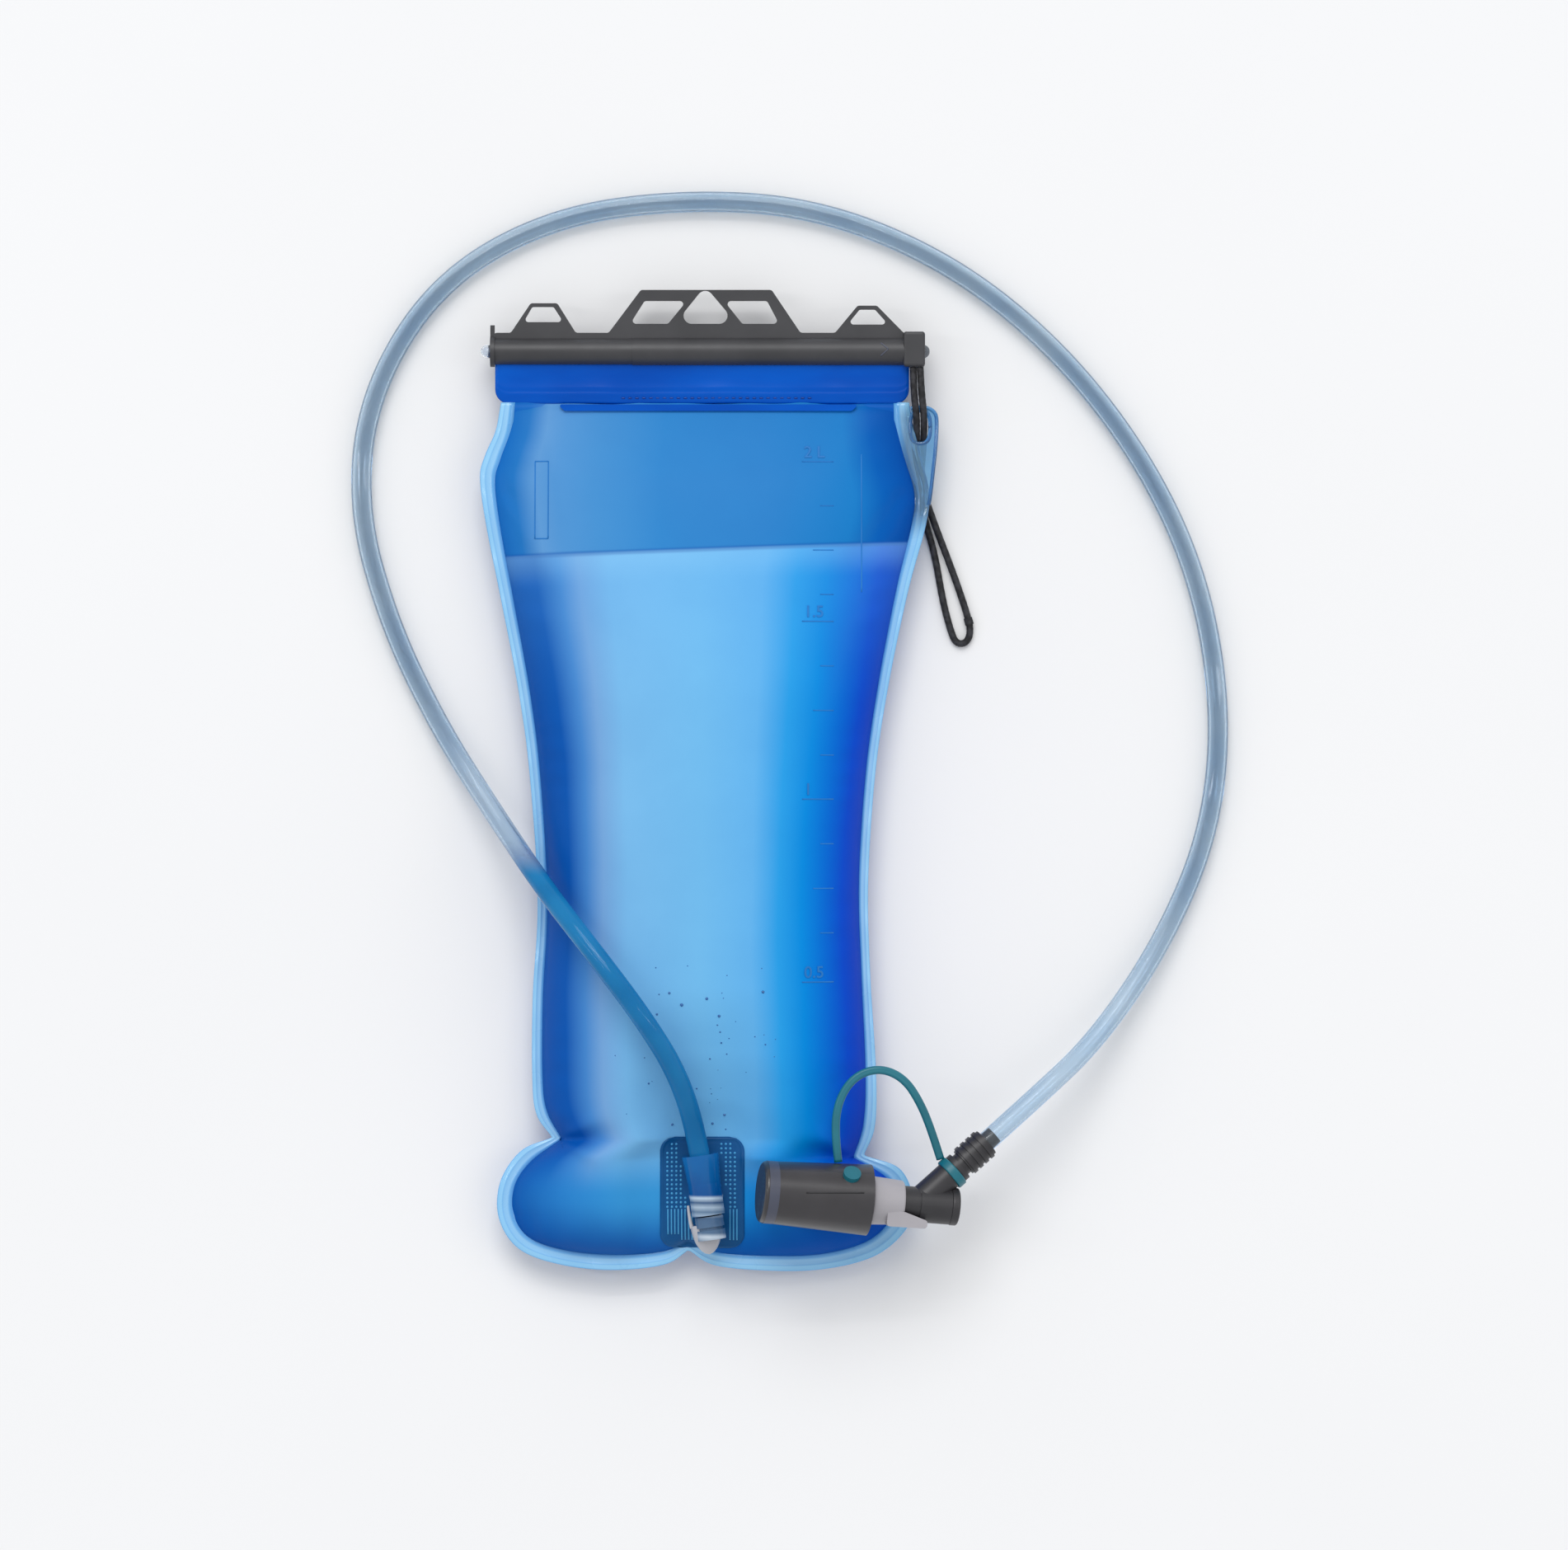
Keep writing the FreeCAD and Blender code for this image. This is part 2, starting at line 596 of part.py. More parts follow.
def round_eyelet(corners):
    return [(EYELET[0] + x, EYELET[1] + y) for x, y in corners]


eyelet_outer = plate("eyelet_outer", [(round_eyelet(eyelet_long), 4.5)], 2.4, eyelet_at[2])
eyelet = plate("eyelet", [(round_eyelet(eyelet_long), 4.5), (round_eyelet(eyelet_hole), 3.4)],
               2.4, eyelet_at[2])
border_keep = feature("border_keep", border_blank)
# The slot is punched through the weld as well, where the border reaches under the eyelet.
eyelet_punch = plate("eyelet_punch", [(round_eyelet(eyelet_hole), 3.4)], 6.0,
                     of("seam_height") - 3.0)
doc.recompute()
node(cut("border_punched", border, eyelet_punch), "bag_weld_border")
node(cut("eyelet_trim", eyelet, border_keep), "tab_eyelet")
node(cut("tab_trim", tab, border_keep, eyelet_outer), "hang_tab")

TETHER_ROUTE = [
    (85.9, 169.9, 18.4), (86.1, 159.5, 19.8), (87.35, 149.6, 19.0), (87.35, 139.6, 10.4),
    (88.6, 124.0, 5.6), (94.6, 106.5, 4.4), (101.8, 88.0, 2.3), (107.6, 71.5, 1.85),
    (110.3, 61.5, 1.85), (108.2, 56.2, 1.6), (103.9, 56.2, 1.5), (101.6, 61.8, 1.5),
    (98.4, 74.0, 1.5), (95.2, 93.0, 1.5), (91.4, 106.0, 1.5), (88.6, 119.0, 3.0),
    (89.8, 131.5, 5.6), (90.45, 140.5, 11.0), (90.4, 150.0, 19.0), (89.2, 160.5, 19.9),
    (88.8, 169.9, 18.4),
]
node(cord_tube("tether", TETHER_ROUTE, float(of("tether_radius"))), "tether_cord")
sleeve_turn = Rotation(Vector(0, 0, 1), Vector(2.7, -10.0, 0))
tether_joint = cut("tether_joint", cylinder("joint_out", 1.8, 3.0, (0, 0, -1.5)),
                   cylinder("joint_in", of("tether_radius"), 4.0, (0, 0, -2.0)))
node(tether_joint, "tether_sleeve", Placement(Vector(109.2, 65.45, 1.85), sleeve_turn))

# ---------------------------------------------------------------- mouthpiece

TILT_UP = 10.0
LEAN = -5.0
mouth_turn = Rotation(Vector(0, 0, 1), LEAN).multiply(Rotation(Vector(0, 1, 0), TILT_UP))
mouth = Placement(Vector(67.0, -172.2, 45.0), mouth_turn)
BRANCH_TURN = 46.0
toward = Rotation(Vector(0, 0, 1), BRANCH_TURN).multiply(TURNS["X"])
step_x = math.cos(math.radians(BRANCH_TURN))
step_y = math.sin(math.radians(BRANCH_TURN))


def on_branch(reach):
    """A point on the branch axis, in the mouthpiece's own frame."""
    return (of("branch_start") + reach * step_x, reach * step_y, 0)


# The body: nozzle, flange, neck, barrel and branch, with the passage through them.
FLANGE_FROM = -4.0
NECK_END = 21.0
BARREL_END = 37.4
BRANCH_END = 21.5
nozzle = cylinder("nozzle", 5.0, 10.0, (-14.0, 0, 0), "X")
face_flange = cone("face_flange", of("cap_large") - of("cap_wall") - 0.3,
                   of("cap_large") - of("cap_wall") - 0.1, 4.0, (FLANGE_FROM, 0, 0), "X")
neck = cylinder("neck", of("neck_radius"), NECK_END, (0, 0, 0), "X")
barrel_out = cylinder("barrel_out", of("barrel_radius"), BARREL_END - NECK_END - 3.4,
                      (NECK_END, 0, 0), "X")
branch = cylinder("branch", of("branch_radius"), BRANCH_END, on_branch(0.0), toward)
chamber = cylinder("chamber_bore", of("chamber"), 60.0, (4.0, 0, 0), "X")
nozzle_bore = cylinder("nozzle_bore", of("passage"), 30.0, (-15.0, 0, 0), "X")
branch_bore = cylinder("branch_bore", of("passage"), 40.0, on_branch(4.0), toward)
coupler_bore = cylinder("coupler_bore", 4.6, 12.0, on_branch(BRANCH_END - 8.0), toward)
KEY_FROM = 10.0
KEY_LONG = 3.0
slot_ring = cylinder("slot_ring", 9.0, KEY_LONG + 0.2, (KEY_FROM - 0.1, 0, 0), "X")
slot_ring.setExpression("Angle", "130")
slot_ring.Placement = Placement(Vector(KEY_FROM - 0.1, 0, 0),
                                TURNS["X"].multiply(Rotation(Vector(0, 0, 1), -200)))
end_clear = cylinder("end_clear", of("barrel_radius") + 0.25, 6.0, (BARREL_END - 3.4, 0, 0), "X")
node(cut("valve", fuse("valve_solid", nozzle, face_flange, neck, barrel_out, branch), chamber,
         nozzle_bore, branch_bore, coupler_bore, slot_ring, end_clear), "valve_body", mouth)

end_disc = cylinder("end_disc", of("barrel_radius") + 0.2, 3.4, (BARREL_END - 3.4, 0, 0), "X")
end_neck = cylinder("end_neck", of("chamber"), 2.0, (BARREL_END - 5.4, 0, 0), "X")
node(fuse("end_plug", rounded("end_disc_smooth", end_disc, 0.8, lambda edge: True), end_neck),
     "valve_end_plug", mouth)

# The shut-off: a spool keyed to the collar through the slot in the neck.
SPOOL_FROM = 5.0
SPOOL_END = 31.8
spool_out = cylinder("spool_out", of("spool_radius"), SPOOL_END - SPOOL_FROM,
                     (SPOOL_FROM, 0, 0), "X")
key = box("key", (KEY_FROM, -1.5, 4.0), (KEY_FROM + KEY_LONG, 1.5, 8.6))
spool_bore = cylinder("spool_bore", of("passage"), 24.0, (SPOOL_FROM - 1, 0, 0), "X")
spool_window = cylinder("spool_window", of("passage"), 40.0, on_branch(0.0), toward)
SPOOL_RINGS = (7.2, 17.0)
RING_WIRE = 0.6
spool_seats = [ring(f"spool_seat_{n}", of("spool_radius") - RING_WIRE + 0.05, RING_WIRE,
                    (x, 0, 0), "X") for n, x in enumerate(SPOOL_RINGS)]
node(cut("spool", fuse("spool_solid", spool_out, key), spool_bore, spool_window, *spool_seats),
     "shutoff_spool", mouth)
spool_rings = [ring(f"spool_ring_{n}", of("spool_radius") - RING_WIRE + 0.05, RING_WIRE,
                    (x, 0, 0), "X") for n, x in enumerate(SPOOL_RINGS)]
node(fuse("spool_seals", *spool_rings), "spool_o_rings", mouth)

COLLAR_FROM = 0.4
COLLAR_LONG = 13.8
collar_out = cone("collar_out", of("collar_radius"), of("collar_radius") - 1.0, COLLAR_LONG,
                  (COLLAR_FROM, 0, 0), "X")
collar_smooth = rounded("collar_smooth", collar_out, 1.2, lambda edge: True)
lug_corners = [(7.0, -9.6), (7.0, -2.6), (14.6, -3.4), (23.8, -6.2), (23.8, -9.4)]
lug = plate("lug", [(lug_corners, 1.4)], 6.4, 2.2)
lug_clear = cylinder("lug_clear", of("barrel_radius") + 0.45, 30.0, (COLLAR_LONG, 0, 0), "X")
lug_trim = cut("lug_trim", lug, lug_clear)
collar_bore = cylinder("collar_bore", of("neck_radius") + 0.05, 40.0, (-1.0, 0, 0), "X")
key_seat = box("key_seat", (KEY_FROM, -1.5, 0), (KEY_FROM + KEY_LONG, 1.5, 8.6))
node(cut("collar", fuse("collar_solid", collar_smooth, lug_trim), collar_bore, key_seat),
     "shutoff_collar", mouth)

# The bite valve: a hollow soft tip over the nozzle.
bite_base = cylinder("bite_base", 9.0, 4.0, (-8.0, 0, 0), "X")
bite_cone = cone("bite_cone", 6.0, 8.0, 16.0, (-24.0, 0, 0), "X")
bite_tip = cylinder("bite_tip", 6.6, 12.0, (-34.0, 0, 0), "X")
bite_round = rounded("bite_round", bite_tip, 2.0, lambda edge: True)
bite_bore = cylinder("bite_bore", 5.0, 10.0, (-14.0, 0, 0), "X")
bite_hollow = cylinder("bite_hollow", 4.0, 20.0, (-32.0, 0, 0), "X")
bite_slit = box("bite_slit", (-36.0, -3.5, -0.2), (-30.0, 3.5, 0.2))
node(cut("bite", fuse("bite_solid", bite_base, bite_cone, bite_round), bite_bore, bite_hollow,
         bite_slit), "bite_valve", mouth)

# The cap: a tapered cup closed at its left end.
long = of("cap_long")
cup_out = cone("cap_out", of("cap_small"), of("cap_large"), long, (-long, 0, 0), "X")
cap_round = rounded("cap_round", cup_out, 1.6, lambda edge: edge.BoundBox.XMax < -44)
cap_in = cone("cap_in", of("cap_small") - of("cap_wall"), of("cap_large") - of("cap_wall"),
              long - of("cap_wall"), (-long + of("cap_wall"), 0, 0), "X")
band_seat = cut("band_seat", cylinder("band_seat_out", 20.0, 4.2, (-43.2, 0, 0), "X"),
                cylinder("band_seat_in", of("cap_small") - 0.6, 5.0, (-43.6, 0, 0), "X"))
plug_turn = Rotation(Vector(1, 0, 0), -45.0)
PLUG_AT = (-9.6, 9.3, 9.3)
plug_hole = cylinder("plug_hole", 3.6, 2.4, PLUG_AT, plug_turn)
node(cut("cap", cap_round, cap_in, band_seat, plug_hole), "cap_shell", mouth)
band = cut("band", cylinder("band_out", of("cap_small") + 0.25, 4.2, (-43.2, 0, 0), "X"),
           cylinder("band_in", of("cap_small") - 0.6, 5.0, (-43.6, 0, 0), "X"))
node(band, "cap_end_ring", mouth)
plug_out = cylinder("plug_out", 3.6, 2.8, PLUG_AT, plug_turn)
cap_hollow = cone("cap_hollow", of("cap_small") - of("cap_wall"),
                  of("cap_large") - of("cap_wall"), long, (-long + of("cap_wall"), 0, 0), "X")
node(cut("plug", plug_out, cap_hollow), "strap_plug", mouth)

# The connector: pushed into the branch, with the hose on its barb.
connector_plug = cylinder("connector_plug", 4.55, 8.0, on_branch(BRANCH_END - 8.0), toward)
connector_disc = cylinder("connector_disc", 6.2, 2.0, on_branch(BRANCH_END), toward)
HOSE_END = float(of("branch_reach"))
COLLAR_AT = 25.6
connector_body = cylinder("connector_body", 4.9, HOSE_END - BRANCH_END,
                          on_branch(BRANCH_END), toward)
connector_barb = cylinder("connector_barb", of("hose_bore"), 9.0, on_branch(HOSE_END - 0.5),
                          toward)
connector_bore = cylinder("connector_bore", 1.9, 60.0, on_branch(0.0), toward)
connector_seat = ring("connector_seat", 4.05, RING_THICK, on_branch(BRANCH_END - 4.0), toward)
node(cut("connector", fuse("connector_solid", connector_plug, connector_disc, connector_body,
                           connector_barb), connector_bore, connector_seat),
     "branch_connector", mouth)
connector_ring = doc.addObject("Part::Compound", "connector_ring_whole")
connector_ring.Links = [ring("connector_ring", 4.05, RING_THICK, on_branch(BRANCH_END - 4.0),
                             toward)]
node(connector_ring, "connector_o_ring", mouth)

strap_ring_out = cylinder("strap_ring_out", 6.9, 3.8, on_branch(17.4), toward)
strap_ring_in = cylinder("strap_ring_in", of("branch_radius"), 5.0, on_branch(17.0), toward)
node(cut("strap_band", rounded("strap_ring_round", strap_ring_out, 0.6, lambda edge: True),
         strap_ring_in), "strap_ring", mouth)

collar_parts = [cylinder("grip_core", 5.9, HOSE_END - COLLAR_AT + 4.0, on_branch(COLLAR_AT),
                         toward)]
for number in range(4):
    reach = COLLAR_AT + 0.8 + 3.0 * number
    collar_parts.append(cylinder(f"grip_rib_{number}", 6.6, 1.6, on_branch(reach), toward))
grip_body_bore = cylinder("grip_body_bore", 4.9, HOSE_END - COLLAR_AT + 0.1,
                          on_branch(COLLAR_AT - 0.1), toward)
grip_hose_bore = cylinder("grip_hose_bore", of("hose_radius"), 8.0, on_branch(HOSE_END - 0.1),
                          toward)
node(cut("grip", fuse("grip_solid", *collar_parts), grip_body_bore, grip_hose_bore),
     "hose_end_collar", mouth)

# ---------------------------------------------------------------- hose and strap

hose_from = port_frame.multVec(Vector(0, HOSE_START, float(of("elbow_axis"))))
hose_out = port_frame.multVec(Vector(0, HOSE_START + 19.0, float(of("elbow_axis"))))
hose_to = mouth.multVec(Vector(*[float(v) for v in on_branch(HOSE_END)]))
hose_in = mouth.multVec(Vector(*[float(v) for v in on_branch(HOSE_END + 30.0)]))
print("hose from", hose_from, hose_out, "to", hose_in, hose_to)

HOSE_ROUTE = [
    tuple(hose_from), tuple(hose_out), (-10.5, -121.0, 47.0), (-25.0, -97.0, 57.5),
    (-45.5, -70.0, 56.0), (-66.0, -44.5, 37.0), (-88.0, -13.0, 12.5), (-110.0, 21.0, 4.6),
    (-131.0, 64.0, 4.3), (-144.5, 113.0, 4.3), (-139.0, 161.0, 4.3), (-111.0, 206.0, 4.3),
    (-65.0, 232.5, 4.3), (-10.0, 240.5, 4.3), (46.0, 237.0, 4.3), (100.0, 215.0, 4.3),
    (144.5, 180.0, 4.3), (180.0, 135.5, 4.3), (204.0, 86.0, 4.3), (214.0, 30.0, 4.3),
    (209.5, -21.0, 4.4), (190.0, -67.0, 6.0), (162.0, -107.5, 17.0), tuple(hose_in),
    tuple(hose_to),
]
node(cord_tube("hose", HOSE_ROUTE, float(of("hose_radius")), float(of("hose_bore"))),
     "hose_tube")

STRAP_ROUTE = [
    (54.8, -156.6, 46.9), (53.2, -144.0, 47.6), (54.9, -131.0, 47.8), (61.5, -121.3, 47.4),
    (72.0, -118.0, 46.4), (82.0, -122.5, 45.0), (88.7, -133.0, 43.3), (93.4, -145.0, 41.4),
    (96.7, -155.7, 39.9),
]
node(cord_tube("strap", STRAP_ROUTE, float(of("strap_radius"))), "cap_strap")

# ---------------------------------------------------------------- checks and files

doc.recompute()
for item in doc.Objects:
    states = [state for state in item.State if state in ("Invalid", "Error")]
    if states:
        raise RuntimeError(f"{item.Name} did not build: {states}")
for piece in nodes:
    shape = piece.Shape
    if shape.isNull() or not shape.isValid() or not shape.Solids:
        raise RuntimeError(f"{piece.Label} has no valid solid")

os.makedirs("parts", exist_ok=True)
for piece in nodes:
    piece.Shape.exportStep(f"parts/{piece.Label}.step")
    size = piece.Shape.BoundBox
    low = [round(v, 1) for v in (size.XMin, size.YMin, size.ZMin)]
    high = [round(v, 1) for v in (size.XMax, size.YMax, size.ZMax)]
    print(f"{piece.Label:20} {len(piece.Shape.Solids)} {piece.Shape.Volume:12.1f} {low} {high}")
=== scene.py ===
"""Looks of a hydration bladder lying on its back: film pouch, clamp, port, hose and mouthpiece.

Metres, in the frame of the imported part: +Z up out of the front film, +Y to the closure.
"""

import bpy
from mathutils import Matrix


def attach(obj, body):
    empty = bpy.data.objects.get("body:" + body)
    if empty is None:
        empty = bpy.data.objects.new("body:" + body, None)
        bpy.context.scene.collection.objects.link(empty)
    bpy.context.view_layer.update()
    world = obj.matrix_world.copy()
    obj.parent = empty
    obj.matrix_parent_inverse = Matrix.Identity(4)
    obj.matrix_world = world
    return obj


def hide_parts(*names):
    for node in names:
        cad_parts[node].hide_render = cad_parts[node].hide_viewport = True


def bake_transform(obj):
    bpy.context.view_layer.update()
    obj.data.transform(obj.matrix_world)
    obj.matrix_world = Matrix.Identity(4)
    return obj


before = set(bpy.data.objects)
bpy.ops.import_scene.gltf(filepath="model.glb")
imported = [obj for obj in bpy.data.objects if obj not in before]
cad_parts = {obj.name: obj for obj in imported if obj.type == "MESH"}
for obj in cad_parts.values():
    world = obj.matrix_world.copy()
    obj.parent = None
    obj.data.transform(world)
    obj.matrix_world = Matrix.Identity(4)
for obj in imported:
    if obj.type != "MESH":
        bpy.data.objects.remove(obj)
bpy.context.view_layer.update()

import math

import bmesh
import bpy
import numpy as np
from mathutils import Vector
from mathutils.geometry import tessellate_polygon

MM = 0.001
SEAM = 0.015  # height of the pouch's weld over the floor
scene = bpy.context.scene
scene.view_settings.view_transform = "Standard"
scene.view_settings.look = "None"


# ---------------------------------------------------------------- camera, light, floor

CAMERA_PLACE = (0.0326, 0.0017, 3.2)
FRAME_WIDTH, FRAME_LEVEL = 0.6467, 0.02  # what the picture spans, and at which height
SENSOR_WIDTH = 36.0
camera_data = bpy.data.cameras.new("camera")
camera_data.sensor_width = SENSOR_WIDTH
camera_data.lens = SENSOR_WIDTH * (CAMERA_PLACE[2] - FRAME_LEVEL) / FRAME_WIDTH
camera = bpy.data.objects.new("camera", camera_data)
camera.location = CAMERA_PLACE
scene.collection.objects.link(camera)
scene.camera = camera

world = bpy.data.worlds.new("studio")
world.use_nodes = True
sky = world.node_tree.nodes["Background"]
sky.inputs["Color"].default_value = (0.97, 0.98, 1.0, 1)
sky.inputs["Strength"].default_value = 0.70
scene.world = world


def area_light(name, at, target, size, watts):
    data = bpy.data.lights.new(name, "AREA")
    data.shape = "RECTANGLE"
    data.size, data.size_y = size
    data.energy = watts
    light = bpy.data.objects.new(name, data)
    light.location = at
    way = Vector(target) - Vector(at)
    light.rotation_euler = way.to_track_quat("-Z", "Y").to_euler()
    scene.collection.objects.link(light)


sun_data = bpy.data.lights.new("sun", "SUN")
sun_data.energy = 1.05
sun_data.angle = math.radians(38)
sun = bpy.data.objects.new("sun", sun_data)
sun.rotation_euler = (math.radians(-38), math.radians(-6), 0)
scene.collection.objects.link(sun)
area_light("strip_top", (-0.1, 1.5, 2.2), (0.02, 0.0, 0.0), (1.6, 0.10), 5.0)
area_light("strip_left", (-1.6, 0.3, 2.0), (0.0, 0.0, 0.0), (0.10, 1.6), 4.0)
area_light("strip_right", (1.7, 0.2, 1.8), (0.0, 0.0, 0.0), (0.10, 1.6), 3.0)


# ---------------------------------------------------------------- materials

def srgb(*levels):
    """A colour given in display levels of 0 to 255, as the linear colour of a shader."""
    parts = [level / 255 for level in levels]
    linear = [c / 12.92 if c <= 0.04045 else ((c + 0.055) / 1.055) ** 2.4 for c in parts]
    return (*linear, 1.0)


class Shader:
    """A Principled material with short ways to add nodes."""

    def __init__(self, name, rough=0.5, **sockets):
        self.material = bpy.data.materials.new(name)
        self.material.use_nodes = True
        self.tree = self.material.node_tree
        self.bsdf = self.tree.nodes["Principled BSDF"]
        self.set(Roughness=rough, **sockets)

    def set(self, **sockets):
        for key, value in sockets.items():
            self.bsdf.inputs[key.replace("_", " ")].default_value = value

    def add(self, kind, **values):
        node = self.tree.nodes.new("ShaderNode" + kind)
        for key, value in values.items():
            setattr(node, key, value)
        return node

    def link(self, source, target):
        self.tree.links.new(source, target)

    def position(self):
        return self.add("TexCoord").outputs["Object"]

    def axes(self, source=None):
        """The X and Y of a vector, or of the place on the object where none is given."""
        node = self.add("SeparateXYZ")
        self.link(self.position() if source is None else source, node.inputs["Vector"])
        return node.outputs["X"], node.outputs["Y"]

    def noise(self, scale, detail=3.0, rough=0.55, stretch=(1, 1, 1)):
        mapping = self.add("Mapping")
        mapping.inputs["Scale"].default_value = stretch
        self.link(self.position(), mapping.inputs["Vector"])
        texture = self.add("TexNoise")
        texture.inputs["Scale"].default_value = scale
        texture.inputs["Detail"].default_value = detail
        texture.inputs["Roughness"].default_value = rough
        self.link(mapping.outputs["Vector"], texture.inputs["Vector"])
        return texture.outputs["Fac"]

    def ramp(self, factor, stops, kind="EASE"):
        node = self.add("ValToRGB")
        band = node.color_ramp
        band.interpolation = kind
        while len(band.elements) < len(stops):
            band.elements.new(0.5)
        for element, (place, colour) in zip(band.elements, stops):
            element.position = place
            element.color = colour
        self.link(factor, node.inputs["Fac"])
        return node.outputs["Color"]

    def bands(self, factor, rows):
        """A straight ramp through rows of a place and a colour's display levels."""
        return self.ramp(factor, [(row[0], srgb(*row[1:])) for row in rows], "LINEAR")

    def mottle(self, first, second, *noise):
        """Two colours in soft patches."""
        return self.ramp(self.noise(*noise), [(0.3, first), (0.7, second)])

    def feed(self, node, values):
        """Link or set inputs, each given by its number."""
        for place, value in values.items():
            if isinstance(value, bpy.types.NodeSocket):
                self.link(value, node.inputs[place])
            else:
                node.inputs[place].default_value = value

    def mix(self, factor, first, second, kind="MIX"):
        node = self.add("Mix", data_type="RGBA", blend_type=kind)
        self.feed(node, {0: factor, 6: first, 7: second})
        return node.outputs[2]

    def math(self, kind, first, second=0.0):
        node = self.add("Math", operation=kind)
        self.feed(node, {0: first, 1: second})
        return node.outputs[0]

    def step(self, value, low, high):
        """0 on the side of low, 1 on the side of high, smooth between."""
        node = self.add("MapRange", interpolation_type="SMOOTHSTEP")
        node.inputs["From Min"].default_value = min(low, high)
        node.inputs["From Max"].default_value = max(low, high)
        node.inputs["To Min"].default_value = 0.0 if low < high else 1.0
        node.inputs["To Max"].default_value = 1.0 if low < high else 0.0
        self.link(value, node.inputs["Value"])
        return node.outputs["Result"]

    def colour(self, source):
        self.link(source, self.bsdf.inputs["Base Color"])

    def roughness(self, source, low, high):
        node = self.add("MapRange")
        node.inputs["To Min"].default_value = low
        node.inputs["To Max"].default_value = high
        self.link(source, node.inputs["Value"])
        self.link(node.outputs["Result"], self.bsdf.inputs["Roughness"])

    def bump(self, source, strength, distance):
        node = self.add("Bump")
        node.inputs["Strength"].default_value = strength
        node.inputs["Distance"].default_value = distance
        self.link(source, node.inputs["Height"])
        if self.bsdf.inputs["Normal"].is_linked:
            self.link(self.bsdf.inputs["Normal"].links[0].from_socket, node.inputs["Normal"])
        self.link(node.outputs["Normal"], self.bsdf.inputs["Normal"])


def moulded(name, colour, rough=0.45, vary=0.18, grain=900.0, depth=0.00006, **sockets):
    """Moulded plastic or rubber: slight mottling of the colour, a fine grain and worn sheen."""
    made = Shader(name, rough, **sockets)
    dark = (*[c * (1 - vary) for c in colour[:3]], 1.0)
    light = (*[min(1.0, c * (1 + vary) + 0.004) for c in colour[:3]], 1.0)
    made.colour(made.mottle(dark, light, 38.0, 4.0))
    made.bump(made.noise(grain, 2.0), 0.35, depth)
    made.roughness(made.noise(70.0, 3.0), max(0.02, rough - 0.07), min(1.0, rough + 0.09))
    return made.material


# ---------------------------------------------------------------- meshes

def link(obj):
    scene.collection.objects.link(obj)
    return obj


def mesh_object(name, points, faces, material, smooth=True):
    mesh = bpy.data.meshes.new(name)
    mesh.from_pydata([tuple(map(float, p)) for p in points], [], faces)
    mesh.materials.append(material)
    mesh.polygons.foreach_set("use_smooth", [smooth] * len(mesh.polygons))
    mesh.update()
    return link(bpy.data.objects.new(name, mesh))


def grid_faces(rows, columns, around=False, flip=False):
    """Quads of a grid of points in row order; around joins the last column to the first."""
    faces = []
    for row in range(rows - 1):
        for column in range(columns if around else columns - 1):
            after = (column + 1) % columns
            quad = (row * columns + column, row * columns + after,
                    (row + 1) * columns + after, (row + 1) * columns + column)
            faces.append(quad[::-1] if flip else quad)
    return faces


def sheet_faces(rows, columns, flip=False):
    """Faces of a closed sheet: one grid, a second grid after it, and the rim between."""
    count = rows * columns
    faces = grid_faces(rows, columns, flip=flip)
    faces += [tuple(i + count for i in face) for face in grid_faces(rows, columns, flip=not flip)]
    rim = list(range(columns)) + [r * columns + columns - 1 for r in range(1, rows)]
    rim += [(rows - 1) * columns + c for c in range(columns - 2, -1, -1)]
    rim += [r * columns for r in range(rows - 2, 0, -1)]
    return faces + [(a, a + count, b + count, b) for a, b in zip(rim, rim[1:] + rim[:1])]


def tube_faces(rows, columns, turned=False):
    """Faces of a tube of rings, closed at both ends; turned reverses the last end."""
    last = tuple((rows - 1) * columns + c for c in range(columns))
    ends = [tuple(range(columns)), last[::-1] if turned else last]
    return grid_faces(rows, columns, True) + ends


def outward(obj):
    """Turn every face of a closed mesh outward."""
    work = bmesh.new()
    work.from_mesh(obj.data)
    bmesh.ops.recalc_face_normals(work, faces=work.faces)
    work.to_mesh(obj.data)
    work.free()
    return obj


def mesh_of(curve):
    """The mesh that a curve or a text makes."""
    carrier = link(bpy.data.objects.new(curve.name, curve))
    bpy.context.view_layer.update()
    mesh = bpy.data.meshes.new_from_object(carrier)
    bpy.data.objects.remove(carrier)
    return mesh


def spline_points(route, resolution=14):
    """Points along the NURBS line whose control points are the route's, in metres."""
    curve = bpy.data.curves.new("route", "CURVE")
    curve.dimensions = "3D"
    curve.resolution_u = resolution
    line = curve.splines.new("NURBS")
    line.points.add(len(route) - 1)
    for point, place in zip(line.points, route):
        point.co = (*place, 1.0)
    line.order_u = 3
    line.use_endpoint_u = True
    mesh = mesh_of(curve)
    places = np.array([v.co[:] for v in mesh.vertices])
    bpy.data.curves.remove(curve)
    bpy.data.meshes.remove(mesh)
    return places


def frames_along(places):
    """Two steady directions across a line at each of its points."""
    tangents = np.gradient(places, axis=0)
    tangents /= np.linalg.norm(tangents, axis=1)[:, None]
    side = np.cross(tangents[0], (0, 0, 1.0))
    side /= np.linalg.norm(side)
    sides = []
    for tangent in tangents:
        side = side - tangent * np.dot(side, tangent)
        side /= np.linalg.norm(side)
        sides.append(side)
    sides = np.array(sides)
    return sides, np.cross(sides, tangents)


